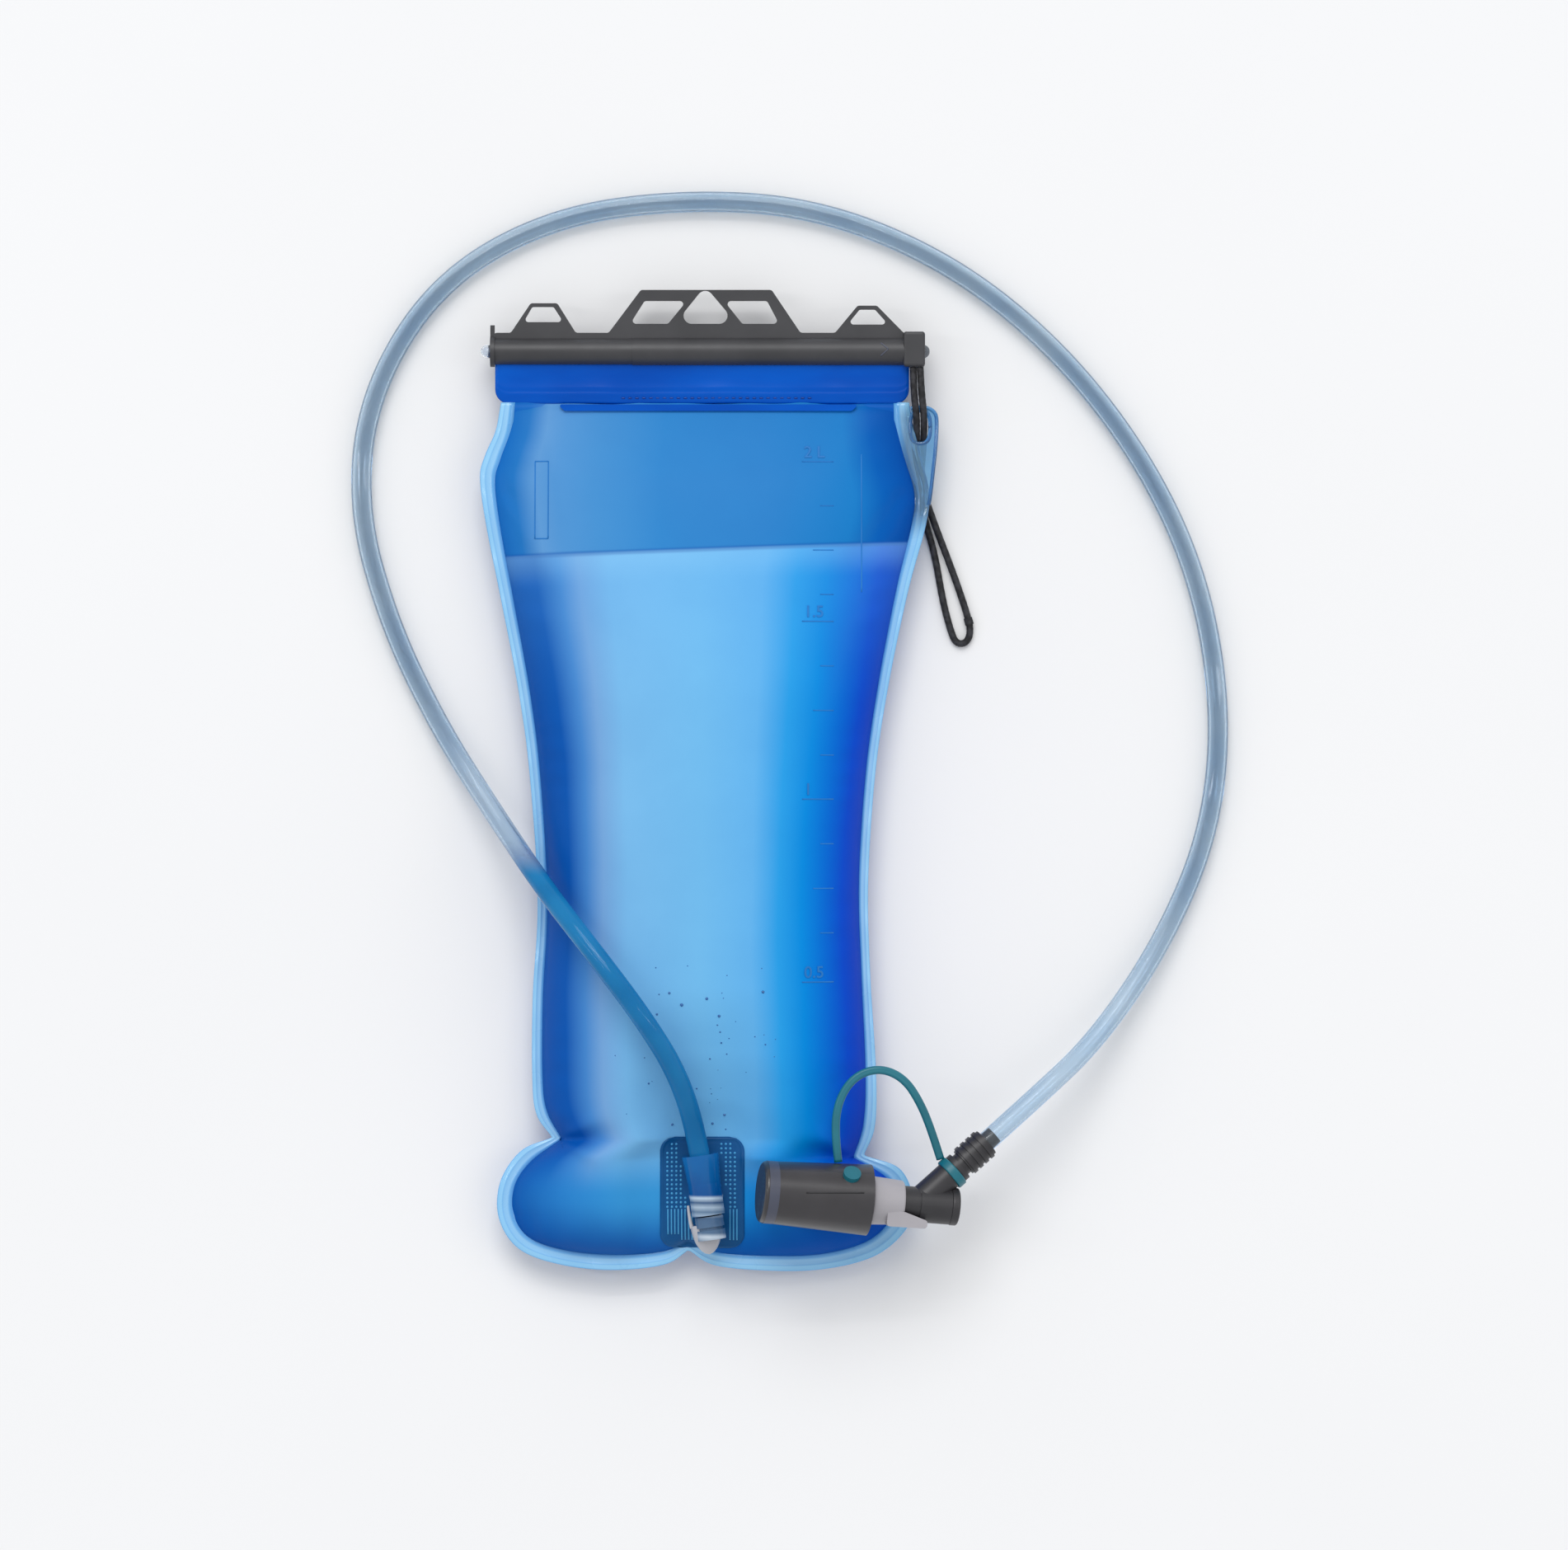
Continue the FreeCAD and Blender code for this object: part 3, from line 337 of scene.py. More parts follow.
def swept(name, places, section, material, inner=None):
    """A tube along a line: section(row, share) gives the ring's points as (side, up) pairs."""
    sides, ups = frames_along(places)
    rings = []
    total = len(places)
    walls = [section] if inner is None else [section, inner]
    for wall in walls:
        for row in range(total):
            pairs = wall(row, row / (total - 1))
            rings.append(places[row] + pairs[:, :1] * sides[row] + pairs[:, 1:] * ups[row])
    columns = len(rings[0])
    points = np.concatenate(rings)
    if inner is None:
        faces = tube_faces(total, columns)
    else:
        offset = total * columns
        faces = grid_faces(total, columns, True)
        faces += [tuple(i + offset for i in face) for face in faces]
        for start in (0, offset - columns):
            for c in range(columns):
                d = (c + 1) % columns
                faces.append((start + c, start + d, offset + start + d, offset + start + c))
    return outward(mesh_object(name, points, faces, material))


def circle(radius, count=20):
    turn = np.linspace(0, 2 * math.pi, count, endpoint=False)
    return np.stack([np.cos(turn), np.sin(turn)], axis=1) * radius


def dress(material, *names):
    """Give CAD nodes a better material."""
    for name in names:
        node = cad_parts[name]
        if not node.material_slots:
            node.data.materials.append(material)
        for place in node.material_slots:
            place.link = "OBJECT"
            place.material = material


def metres(route):
    return [tuple(v * MM for v in point) for point in route]


# ---------------------------------------------------------------- hose

HOSE_ROUTE = metres([
    (-0.196, -166.049, 33.4), (-2.840, -147.234, 33.4), (-10.5, -121.0, 47.0),
    (-25.0, -97.0, 57.5), (-45.5, -70.0, 56.0), (-66.0, -44.5, 37.0), (-88.0, -13.0, 12.5),
    (-110.0, 21.0, 4.6), (-131.0, 64.0, 4.3), (-144.5, 113.0, 4.3), (-139.0, 161.0, 4.3),
    (-111.0, 206.0, 4.3), (-65.0, 232.5, 4.3), (-10.0, 240.5, 4.3), (46.0, 237.0, 4.3),
    (100.0, 215.0, 4.3), (144.5, 180.0, 4.3), (180.0, 135.5, 4.3), (204.0, 86.0, 4.3),
    (214.0, 30.0, 4.3), (209.5, -21.0, 4.4), (190.0, -67.0, 6.0), (162.0, -107.5, 17.0),
    (134.889, -131.782, 33.696), (112.563, -151.491, 37.315),
])
HOSE_OUTER = 0.00425
HOSE_INNER = 0.0030

HOSE_CLEARNESS, POUCH_CLEARNESS_LOSS = 0.94, 0.50

clear_hose = Shader("hose_clear", 0.04, Transmission_Weight=HOSE_CLEARNESS, IOR=1.30)
open_tint = clear_hose.mottle((0.80, 0.89, 0.96, 1), (0.88, 0.94, 0.98, 1), 30.0, 2.0)
# Over the pouch the hose takes the pouch's blue as its colour and lets less light through: painted
# show-through of the pouch under the clear tube.
painted_pouch_show_through = clear_hose.mottle(srgb(12, 130, 196), srgb(34, 152, 214), 30.0, 2.0)
hose_x, hose_y = clear_hose.axes()
over_pouch = clear_hose.math("MULTIPLY", clear_hose.step(hose_y, -0.024, -0.040),
                             clear_hose.step(hose_x, 0.030, 0.010))
clear_hose.colour(clear_hose.mix(over_pouch, open_tint, painted_pouch_show_through))
see_through = clear_hose.math("SUBTRACT", HOSE_CLEARNESS,
                              clear_hose.math("MULTIPLY", over_pouch, POUCH_CLEARNESS_LOSS))
clear_hose.link(see_through, clear_hose.bsdf.inputs["Transmission Weight"])
clear_hose.bump(clear_hose.noise(90.0, 1.0), 0.03, 0.0001)
haze = clear_hose.add("VolumeAbsorption")
haze.inputs["Color"].default_value = (0.08, 0.42, 0.70, 1)
haze.inputs["Density"].default_value = 130.0
clear_hose.link(haze.outputs["Volume"], clear_hose.tree.nodes["Material Output"].inputs["Volume"])

hose_line = spline_points(HOSE_ROUTE)
hose = swept("hose", hose_line, lambda row, share: circle(HOSE_OUTER, 28),
             clear_hose.material, lambda row, share: circle(HOSE_INNER, 28))
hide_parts("hose_tube")
# Both ends lift with the port plug and the mouthpiece; the far loop stays on the floor.
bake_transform(hose)


# ---------------------------------------------------------------- tether

TETHER_ROUTE = metres([
    (85.9, 169.9, 18.4), (86.1, 159.5, 19.8), (87.35, 149.6, 19.0), (87.35, 139.6, 10.4),
    (88.6, 124.0, 5.6), (94.6, 106.5, 4.4), (101.8, 88.0, 2.3), (107.6, 71.5, 1.85),
    (110.3, 61.5, 1.85), (108.2, 56.2, 1.6), (103.9, 56.2, 1.5), (101.6, 61.8, 1.5),
    (98.4, 74.0, 1.5), (95.2, 93.0, 1.5), (91.4, 106.0, 1.5), (88.6, 119.0, 3.0),
    (89.8, 131.5, 5.6), (90.45, 140.5, 11.0), (90.4, 150.0, 19.0), (89.2, 160.5, 19.9),
    (88.8, 169.9, 18.4),
])
TETHER_RADIUS = 0.0014
cord_black = Shader("cord_black", 0.62, Specular_IOR_Level=0.35)
cord_black.colour(cord_black.ramp(cord_black.noise(420.0, 3.0), [
    (0.35, srgb(24, 24, 26)), (0.65, srgb(52, 52, 56))]))
cord_black.bump(cord_black.noise(1600.0, 2.0), 0.5, 0.0002)


def braided(radius, strands=8, depth=0.05):
    """A ring whose outline carries the strands of a braid, turning along the cord."""
    def section(row, share):
        ring = circle(1.0, 16)
        turn = np.arctan2(ring[:, 1], ring[:, 0])
        weave = np.cos(strands / 2 * turn + row * 0.9) * np.cos(strands / 2 * turn - row * 0.9)
        return ring * radius * (1 + depth * weave)[:, None]
    return section


tether_line = spline_points(TETHER_ROUTE, 16)
tether = swept("tether", tether_line, braided(TETHER_RADIUS), cord_black.material)
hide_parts("tether_cord")
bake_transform(tether)


# ---------------------------------------------------------------- cap strap

STRAP_ROUTE = metres([
    (54.8, -156.6, 46.9), (53.2, -144.0, 47.6), (54.9, -131.0, 47.8), (61.5, -121.3, 47.4),
    (72.0, -118.0, 46.4), (82.0, -122.5, 45.0), (88.7, -133.0, 43.3), (93.4, -145.0, 41.4),
    (96.7, -155.7, 39.9),
])
STRAP_RADIUS = 0.0017
teal = moulded("teal_rubber", srgb(0, 104, 120), 0.40, 0.14, Coat_Weight=0.10)


def strap_section(row, share):
    """A rounded band with a shallow groove along its top."""
    ring = circle(STRAP_RADIUS, 24)
    ring[:, 1] *= 0.82
    groove = np.exp(-((ring[:, 0] / 0.0005) ** 2)) * 0.00028
    ring[:, 1] -= np.sign(ring[:, 1]) * groove
    return ring


strap_line = spline_points(STRAP_ROUTE, 16)
strap = swept("strap", strap_line, strap_section, teal)
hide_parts("cap_strap")
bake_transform(strap)


# ---------------------------------------------------------------- outline of the pouch

# Pairs of a point on the border's outer edge and the point where the film leaves the weld.
LEFT_SIDE = [
    (-84.3, 155.6, -79.5, 155.6), (-86.5, 144.0, -81.0, 143.5), (-91.0, 133.5, -84.8, 132.2),
    (-93.0, 124.0, -87.0, 122.5), (-90.3, 104.0, -84.6, 103.0), (-84.5, 75.0, -79.3, 74.3),
    (-77.0, 36.0, -72.3, 35.4), (-72.3, 0.0, -68.0, 0.0), (-69.2, -50.0, -65.2, -50.0),
    (-71.2, -90.0, -67.0, -89.5), (-71.4, -122.0, -67.2, -121.0),
    (-69.8, -138.0, -65.6, -136.3), (-63.2, -148.0, -59.3, -148.5),
]
LEFT_LOBE = [
    (-63.2, -148.0, -59.3, -148.5), (-76.0, -153.5, -72.0, -157.8),
    (-84.5, -166.0, -78.8, -168.0), (-85.3, -181.0, -79.2, -180.0),
]
LEFT_FOOT = [
    (-85.3, -181.0, -79.2, -180.0), (-77.0, -194.0, -72.5, -189.6),
    (-60.0, -200.5, -57.5, -194.7), (-38.0, -202.8, -37.3, -196.6),
    (-17.0, -200.6, -18.0, -195.3), (-6.8, -194.5, -7.0, -191.0),
]
RIGHT_FOOT = [
    (-6.8, -194.5, -7.0, -191.0), (4.0, -200.8, 5.0, -195.6), (26.0, -203.0, 26.5, -197.0),
    (49.0, -202.4, 48.3, -196.2), (70.0, -197.0, 66.5, -191.2), (83.0, -186.0, 76.5, -182.3),
]
RIGHT_LOBE = [
    (83.0, -186.0, 76.5, -182.3), (86.0, -174.0, 78.6, -173.5), (80.5, -161.0, 75.0, -164.5),
    (65.6, -155.4, 61.3, -156.2),
]
RIGHT_SIDE = [
    (65.6, -155.4, 61.3, -156.2), (70.2, -143.0, 65.5, -142.0), (70.6, -120.0, 66.3, -120.0),
    (68.2, -80.0, 64.6, -80.0), (67.4, -42.0, 63.6, -42.0), (70.4, 3.0, 66.5, 3.3),
    (76.0, 40.0, 71.8, 40.5), (84.0, 78.0, 79.2, 78.8), (91.0, 104.0, 85.5, 105.2),
    (92.6, 118.0, 86.6, 118.3), (89.0, 134.0, 82.6, 132.6), (86.0, 146.0, 79.8, 144.5),
    (84.3, 155.6, 79.0, 155.6),
]


def flowing(points, each=14, before=None, after=None):
    """A smooth line through points; before and after bend its ends towards a neighbour."""
    points = np.array(points, float)
    first = points[0] * 2 - points[1] if before is None else np.array(before, float)
    last = points[-1] * 2 - points[-2] if after is None else np.array(after, float)
    held = np.vstack([first, points, last])
    share = np.linspace(0, 1, each, endpoint=False)[:, None]
    pieces = []
    for a, b, c, d in zip(held, held[1:], held[2:], held[3:]):
        pieces.append(0.5 * (2 * b + (c - a) * share + (2 * a - 5 * b + 4 * c - d) * share ** 2
                             + (3 * b - a - 3 * c + d) * share ** 3))
    return np.vstack(pieces + [points[-1:]]) * MM


left_side = flowing(LEFT_SIDE)
left_lobe = flowing(LEFT_LOBE, after=LEFT_FOOT[1])
left_foot = flowing(LEFT_FOOT, before=LEFT_LOBE[-2])
right_foot = flowing(RIGHT_FOOT, after=RIGHT_LOBE[1])
right_lobe = flowing(RIGHT_LOBE, before=RIGHT_FOOT[-2])
right_side = flowing(RIGHT_SIDE)

outline = np.vstack([left_side[:-1], left_lobe[:-1], left_foot[:-1], right_foot[:-1],
                     right_lobe[:-1], right_side])
left_edge = np.vstack([left_side[:-1], left_lobe])[::-1, 2:]
right_edge = np.vstack([right_lobe[:-1], right_side])[:, 2:]
foot_edge = np.vstack([left_foot[:-1], right_foot])[:, 2:]


def run_lengths(line):
    """Length of a line up to each of its points."""
    return np.concatenate([[0], np.cumsum(np.linalg.norm(np.diff(line, axis=0), axis=1))])


def along(line, shares):
    """Points at those shares of a line's length."""
    steps = run_lengths(line)
    steps /= steps[-1]
    return np.stack([np.interp(shares, steps, line[:, k]) for k in range(line.shape[1])], axis=1)


def smoothstep(value, low, high):
    share = np.clip((value - low) / (high - low), 0, 1)
    return share * share * (3 - 2 * share)


# Height of the front film over the seam along the pouch, the dip between its lobes, and
# the depth of the back film under the seam before the floor flattens it.
PROFILE_Y = np.array([-200, -172, -158, -146, -132, -112, -85, -35, 15, 60, 98, 124, 140, 151,
                      153, 156]) * MM
CROWN = np.array([23.6, 23.4, 23.6, 24.8, 27.4, 30.8, 32.8, 33.3, 30.8, 25, 17.4, 11, 5.8, 1.2,
                  0.3, 0.3]) * MM
DIP = np.array([13.1, 13.6, 14.2, 13.6, 11.4, 6, 1, 0, 0, 0, 0, 0, 0, 0, 0, 0]) * MM
BELLY = np.array([19, 19, 19, 19, 19, 19, 19, 19, 19, 19, 19, 13.5, 6.5, 1.4, 0.3, 0.3]) * MM


def eased(value, places, levels):
    """A steady curve through levels at places, with no overshoot."""
    slopes = np.diff(levels) / np.diff(places)
    same = slopes[1:] * slopes[:-1] > 0
    total = slopes[1:] + slopes[:-1]
    inner = np.where(same, 2 * slopes[1:] * slopes[:-1] / np.where(same, total, 1), 0)
    bends = np.concatenate([[slopes[0]], inner, [slopes[-1]]])
    spot = np.clip(np.searchsorted(places, value) - 1, 0, len(slopes) - 1)
    width = places[spot + 1] - places[spot]
    t = np.clip((value - places[spot]) / width, 0, 1)
    return (levels[spot] * (1 + 2 * t) * (1 - t) ** 2 + levels[spot + 1] * t * t * (3 - 2 * t)
            + width * (bends[spot] * t * (1 - t) ** 2 - bends[spot + 1] * t * t * (1 - t)))


def across_and_foot(x, y):
    """Place from -1 to 1 between the film's side edges, and distance from its foot."""
    row = np.maximum(y, -0.180)
    left = np.interp(row, left_edge[:, 1], left_edge[:, 0])
    right = np.interp(row, right_edge[:, 1], right_edge[:, 0])
    share = np.clip((x - (left + right) / 2) / ((right - left) / 2), -1, 1)
    foot = np.interp(x, foot_edge[:, 0], foot_edge[:, 1])
    return share, np.maximum(y - foot, 0), left, right


# Where each longer fold starts, its direction, its length and its height.
LEFT_NECK, RIGHT_NECK = (-0.0593, -0.1485), (0.0613, -0.1562)
FOLDS = [
    (LEFT_NECK, 0.10, 0.034, -0.0016), (LEFT_NECK, 0.55, 0.026, 0.0016),
    (LEFT_NECK, -0.45, 0.026, 0.0018), (RIGHT_NECK, math.pi - 0.15, 0.036, -0.0012),
    (RIGHT_NECK, math.pi - 0.6, 0.028, 0.0016), (RIGHT_NECK, math.pi + 0.4, 0.026, 0.0016),
    ((-0.0860, 0.118), -0.95, 0.075, 0.0009), ((-0.0850, 0.128), -1.25, 0.090, -0.0008),
    ((-0.0650, 0.152), -1.45, 0.095, 0.0005),
    ((0.0850, 0.122), math.pi + 0.95, 0.080, -0.0008),
]


def creases(x, y, foot, left, right):
    """Small folds of a filled pouch: puckers at the weld, pinches and slack at the top."""
    inside = np.minimum(np.minimum(x - left, right - x), foot)
    rim = np.exp(-((inside - 0.007) / 0.006) ** 2)
    wave = np.sin(y * 520 + 1.7 * np.sin(y * 61)) * (0.6 + 0.4 * np.sin(y * 97 + 1.0))
    lift = 0.00028 * rim * wave * smoothstep(y, -0.19, -0.15)
    along_foot = np.sin(x * 470 + 2.0 * np.sin(x * 83)) * np.exp(-((foot - 0.008) / 0.007) ** 2)
    lift += 0.00045 * along_foot * (1 - smoothstep(y, -0.18, -0.15))
    for corner, way, reach, rise in FOLDS:
        far = (x - corner[0]) * math.cos(way) + (y - corner[1]) * math.sin(way)
        off = -(x - corner[0]) * math.sin(way) + (y - corner[1]) * math.cos(way)
        width = 0.0022 + 0.10 * np.maximum(far, 0)
        body = smoothstep(far, 0.0, 0.006) * (1 - smoothstep(far, 0.35 * reach, reach))
        lift += rise * body * np.exp(-(off / width) ** 2)
    return lift


HELD_RISE = 0.0096  # most that the film rises over the seam under the port pad
FRONT_ROUND, BACK_ROUND = 0.038, 0.030  # how far from the foot the films have turned flat
FLOOR_NEAR, FLOOR_GAP = 0.0045, 0.0004  # where the back film flattens, and its lowest level


def pad_hold(x, y):
    """1 under the port pad, 0 away from it."""
    middle = 1 - smoothstep(np.abs(x), 0.009, 0.020)
    return middle * smoothstep(y, -0.204, -0.190) * (1 - smoothstep(y, -0.158, -0.130))


def front_height(x, y):
    share, foot, left, right = across_and_foot(x, y)
    crown = eased(y, PROFILE_Y, CROWN)
    rise = crown * (1 - np.abs(share) ** 2.5) ** 0.6
    rise -= eased(y, PROFILE_Y, DIP) * np.exp(-((share / 0.42) ** 4))
    rise *= (1 - (1 - np.clip(foot / FRONT_ROUND, 0, 1)) ** 2.2) ** 0.55
    slack = smoothstep(rise, 0.0, 0.006)
    rise = rise + creases(x, y, foot, left, right) * slack
    hold = pad_hold(x, y)
    rise = rise * (1 - hold) + np.minimum(rise, HELD_RISE) * hold
    return SEAM + np.maximum(rise, 0.0)


def back_height(x, y):
    share, foot, left, right = across_and_foot(x, y)
    fall = eased(y, PROFILE_Y, BELLY) * np.sqrt(1 - np.abs(share) ** 4)
    fall = fall * (1 - (1 - np.clip(foot / BACK_ROUND, 0, 1)) ** 2.2) ** 0.55
    low = SEAM - fall
    return np.where(low < FLOOR_NEAR, FLOOR_GAP + 0.0041 * np.exp((low - FLOOR_NEAR) / 0.0041), low)


def patch(columns, rows):
    """Grid of places over the film: the sides, the foot and the straight top, blended."""
    u = (1 - np.cos(np.linspace(0, math.pi, columns))) / 2 * 0.6 + np.linspace(0, 1, columns) * 0.4
    v = np.linspace(0, 1, rows)
    v = 0.55 * v + 0.45 * (1 - np.cos(v * math.pi / 2))
    left, right = along(left_edge, v), along(right_edge, v)
    foot = along(foot_edge, u)
    top = np.outer(1 - u, left[-1]) + np.outer(u, right[-1])
    grid = np.zeros((rows, columns, 2))
    for row, share in enumerate(v):
        ends = np.outer(1 - u, left[row]) + np.outer(u, right[row])
        ruled = (1 - share) * foot + share * top
        corners = ((1 - share) * (np.outer(1 - u, foot[0]) + np.outer(u, foot[-1]))
                   + share * top)
        grid[row] = ends + ruled - corners
    return grid


def film_uv(x, y):
    share = across_and_foot(x, y)[0]
    return (share + 1) / 2, (y + 0.21) / 0.38


def map_film(obj):
    """Give a piece of film the coordinates that its colours follow."""
    mesh = obj.data
    places = np.array([v.co[:] for v in mesh.vertices])
    u, v = film_uv(places[:, 0], places[:, 1])
    layer = mesh.uv_layers.new(name="pouch")
    loops = np.zeros(len(mesh.loops), int)
    mesh.loops.foreach_get("vertex_index", loops)
    layer.data.foreach_set("uv", np.stack([u[loops], v[loops]], axis=1).ravel())


# ---------------------------------------------------------------- film

def film_material(name, back=False):
    made = Shader(name, 0.38, Specular_IOR_Level=0.05, Coat_Weight=0.02, Coat_Roughness=0.18)
    x, y = made.axes()
    u, _ = made.axes(made.add("UVMap", uv_map="pouch").outputs["UV"])
    # The shade of the water drifts a little from place to place.
    drift = made.math("MULTIPLY", made.math("SUBTRACT", made.noise(9.0, 2.0), 0.5), 0.05)
    u = made.math("ADD", u, drift)
    # Each ramp across the pouch is darker towards both side edges: painted shade where the film
    # curves down to the weld.
    middle = made.bands(u, [
        (0.0, 0, 78, 166), (0.075, 8, 86, 174), (0.135, 70, 134, 202), (0.185, 116, 164, 214),
        (0.26, 118, 182, 228), (0.50, 112, 184, 231), (0.66, 98, 176, 231),
        (0.745, 40, 156, 226), (0.82, 0, 138, 220), (0.90, 0, 104, 210), (0.95, 0, 74, 204),
        (1.0, 0, 60, 190),
    ])
    top = made.bands(u, [
        (0.0, 20, 104, 186), (0.05, 34, 116, 190), (0.10, 92, 150, 206), (0.15, 78, 144, 204),
        (0.24, 66, 140, 202), (0.40, 44, 130, 198), (0.65, 40, 126, 196), (0.86, 24, 122, 194),
        (0.93, 0, 92, 178), (1.0, 0, 74, 162),
    ])
    low = made.bands(u, [
        (0.0, 8, 88, 172), (0.12, 40, 126, 200), (0.28, 56, 150, 214), (0.45, 58, 156, 218),
        (0.62, 24, 142, 220), (0.80, 0, 104, 208), (1.0, 0, 70, 190),
    ])
    level = made.math("SUBTRACT", y, made.math("MULTIPLY", x, 0.036))
    level = made.math("SUBTRACT", level, 0.0945)
    dry = made.step(level, -0.0004, 0.0008)
    wet = made.mix(made.step(y, 0.02, 0.095), middle, made.mix(0.18, middle, srgb(84, 160, 232)))
    fade = made.mix(made.step(y, -0.172, -0.148), low, wet)
    # Darker towards the foot: painted shade where the film turns down to the seam.
    foot = made.mix(made.step(y, -0.196, -0.172), srgb(0, 72, 160), fade)
    below = made.mix(0.85, fade, foot)
    both = made.mix(dry, below, top)
    # A thin darker line along the water level: painted shade at the water's edge.
    edge = made.math("SUBTRACT", 1.0, made.step(made.math("ABSOLUTE", level), 0.0003, 0.0016))
    both = made.mix(made.math("MULTIPLY", edge, 0.62), both, srgb(14, 84, 168))
    # Just under the water level the colour turns paler: painted light, a glow carried through the
    # water.
    under = made.step(made.math("MULTIPLY", level, -1.0), 0.0, 0.014)
    painted_glow = made.math("MULTIPLY", made.math("SUBTRACT", 1.0, under),
                     made.math("SUBTRACT", 1.0, dry))
    both = made.mix(made.math("MULTIPLY", painted_glow, 0.22), both, srgb(150, 210, 248))
    worn = made.mottle((0.93, 0.95, 0.97, 1), (1, 1, 1, 1), 26.0, 4.0)
    both = made.mix(1.0, both, worn, "MULTIPLY")
    if back:
        both = made.mix(0.5, both, srgb(20, 96, 190))
    made.colour(both)
    made.bump(made.noise(60.0, 3.0, 0.5, (1, 0.35, 1)), 0.10, 0.0012)
    made.bump(made.noise(900.0, 2.0), 0.10, 0.00005)
    made.roughness(made.noise(24.0, 3.0), 0.34, 0.46)
    return made.material


film_blue = film_material("film_blue")
film_back_blue = film_material("film_back_blue", True)


def film_sheet(name, columns, rows, height, thick, material, flip):
    """A thin closed sheet of film over the patch."""
    places = patch(columns, rows).reshape(-1, 2)
    level = height(places[:, 0], places[:, 1])
    outer = np.column_stack([places, level])
    inner = outer - (0, 0, thick)
    made = outward(mesh_object(name, np.vstack([outer, inner]), sheet_faces(rows, columns, flip),
                               material))
    map_film(made)
    return made


front = film_sheet("film_front", 150, 250, front_height, 0.0004, film_blue, False)
back = film_sheet("film_back", 90, 150, back_height, -0.0004, film_back_blue, True)
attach(front, "bag")
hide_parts("bag_front_film", "water_fill")
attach(back, "bag")
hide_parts("bag_back_film")


# ---------------------------------------------------------------- welded border

weld_pale = Shader("weld_pale", 0.28, Coat_Weight=0.4, Coat_Roughness=0.1)
weld_across, _ = weld_pale.axes(weld_pale.add("UVMap", uv_map="weld").outputs["UV"])
band = weld_pale.bands(weld_across, [
    (0.0, 84, 160, 222), (0.16, 100, 172, 228), (0.30, 148, 202, 240), (0.55, 142, 200, 240),
    (0.62, 124, 188, 236), (0.70, 148, 206, 242), (0.90, 142, 202, 240), (1.0, 104, 176, 230),
])
tint = weld_pale.mottle((0.84, 0.91, 0.97, 1), (1, 1, 1, 1), 20.0, 3.0)
weld_pale.colour(weld_pale.mix(1.0, band, tint, "MULTIPLY"))
weld_x, weld_y = weld_pale.axes()
tab_rows = weld_pale.math("MULTIPLY", weld_pale.step(weld_y, 0.098, 0.112),
                          weld_pale.step(weld_y, 0.156, 0.148))
beside_tab = weld_pale.math("MULTIPLY", weld_pale.step(weld_x, 0.078, 0.084), tab_rows)
weld_pale.link(weld_pale.math("MULTIPLY", beside_tab, 0.78),
               weld_pale.bsdf.inputs["Transmission Weight"])
weld_pale.bump(weld_pale.noise(140.0, 3.0), 0.12, 0.0004)
weld_pale.roughness(weld_pale.noise(40.0, 3.0), 0.2, 0.36)
worn = weld_pale.bsdf.inputs["Roughness"].links[0].from_socket
smooth_share = weld_pale.math("SUBTRACT", 1.0, weld_pale.math("MULTIPLY", beside_tab, 0.92))
weld_pale.link(weld_pale.math("MULTIPLY", worn, smooth_share), weld_pale.bsdf.inputs["Roughness"])

# Cross-section of the weld from its inner to its outer edge: share of the width, height.
WELD_TOP = [(-0.22, 0.35), (0.05, 0.45), (0.16, 0.62), (0.24, 0.50), (0.34, 0.42), (0.58, 0.44),
            (0.64, 0.58), (0.70, 0.44), (0.90, 0.42), (0.97, 0.32), (1.0, 0.10)]
WELD_RINGS = 620


def weld_border():
    """The weld's section, above and below the seam, carried round the outline."""
    steps = run_lengths(outline[:, :2])
    evenly = np.linspace(0, steps[-1], WELD_RINGS)
    ring_line = np.stack([np.interp(evenly, steps, outline[:, k]) for k in range(4)], axis=1)
    points, places = [], []
    for gone, (ox, oy, ix, iy) in zip(evenly, ring_line):
        ripple = 0.00035 * math.sin(gone * 230) * math.sin(gone * 71 + 1)
        for share, level in WELD_TOP + [(s, -h) for s, h in WELD_TOP[::-1]]:
            outer = max(0.0, share)
            points.append((ix + (ox - ix) * share, iy + (oy - iy) * share,
                           SEAM + level * MM + ripple * outer))
            places.append((outer, gone))
    faces = tube_faces(WELD_RINGS, 2 * len(WELD_TOP))
    made = outward(mesh_object("weld_border", points, faces, weld_pale.material))
    layer = made.data.uv_layers.new(name="weld")
    for loop in made.data.loops:
        layer.data[loop.index].uv = places[loop.vertex_index]
    return made


border = weld_border()
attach(border, "bag")
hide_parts("bag_weld_border")


# ---------------------------------------------------------------- CAD nodes that stay

clamp_black = moulded("clamp_black", srgb(54, 54, 57), 0.42, 0.10, 700.0, 0.00005)
mouth_black = moulded("mouth_black", srgb(46, 45, 48), 0.38, 0.10, 900.0, 0.00004)
cap_black = moulded("cap_black", srgb(50, 48, 51), 0.30, 0.10, 700.0, 0.00004, Coat_Weight=0.25)
band_grey = moulded("band_grey", srgb(72, 76, 92), 0.34, 0.10, 700.0, 0.00004)
collar_grey = moulded("collar_grey", srgb(168, 165, 170), 0.40, 0.05, 700.0, 0.00004)
button_grey = moulded("button_grey", srgb(186, 184, 190), 0.32, 0.06, 700.0, 0.00003,
                      Coat_Weight=0.3)
seal_black = moulded("seal_black", srgb(30, 30, 32), 0.5, 0.1)
pad_blue = moulded("pad_blue", srgb(10, 80, 136), 0.34, 0.14, 500.0, 0.00005,
                   Specular_IOR_Level=0.12, Coat_Weight=0.05)
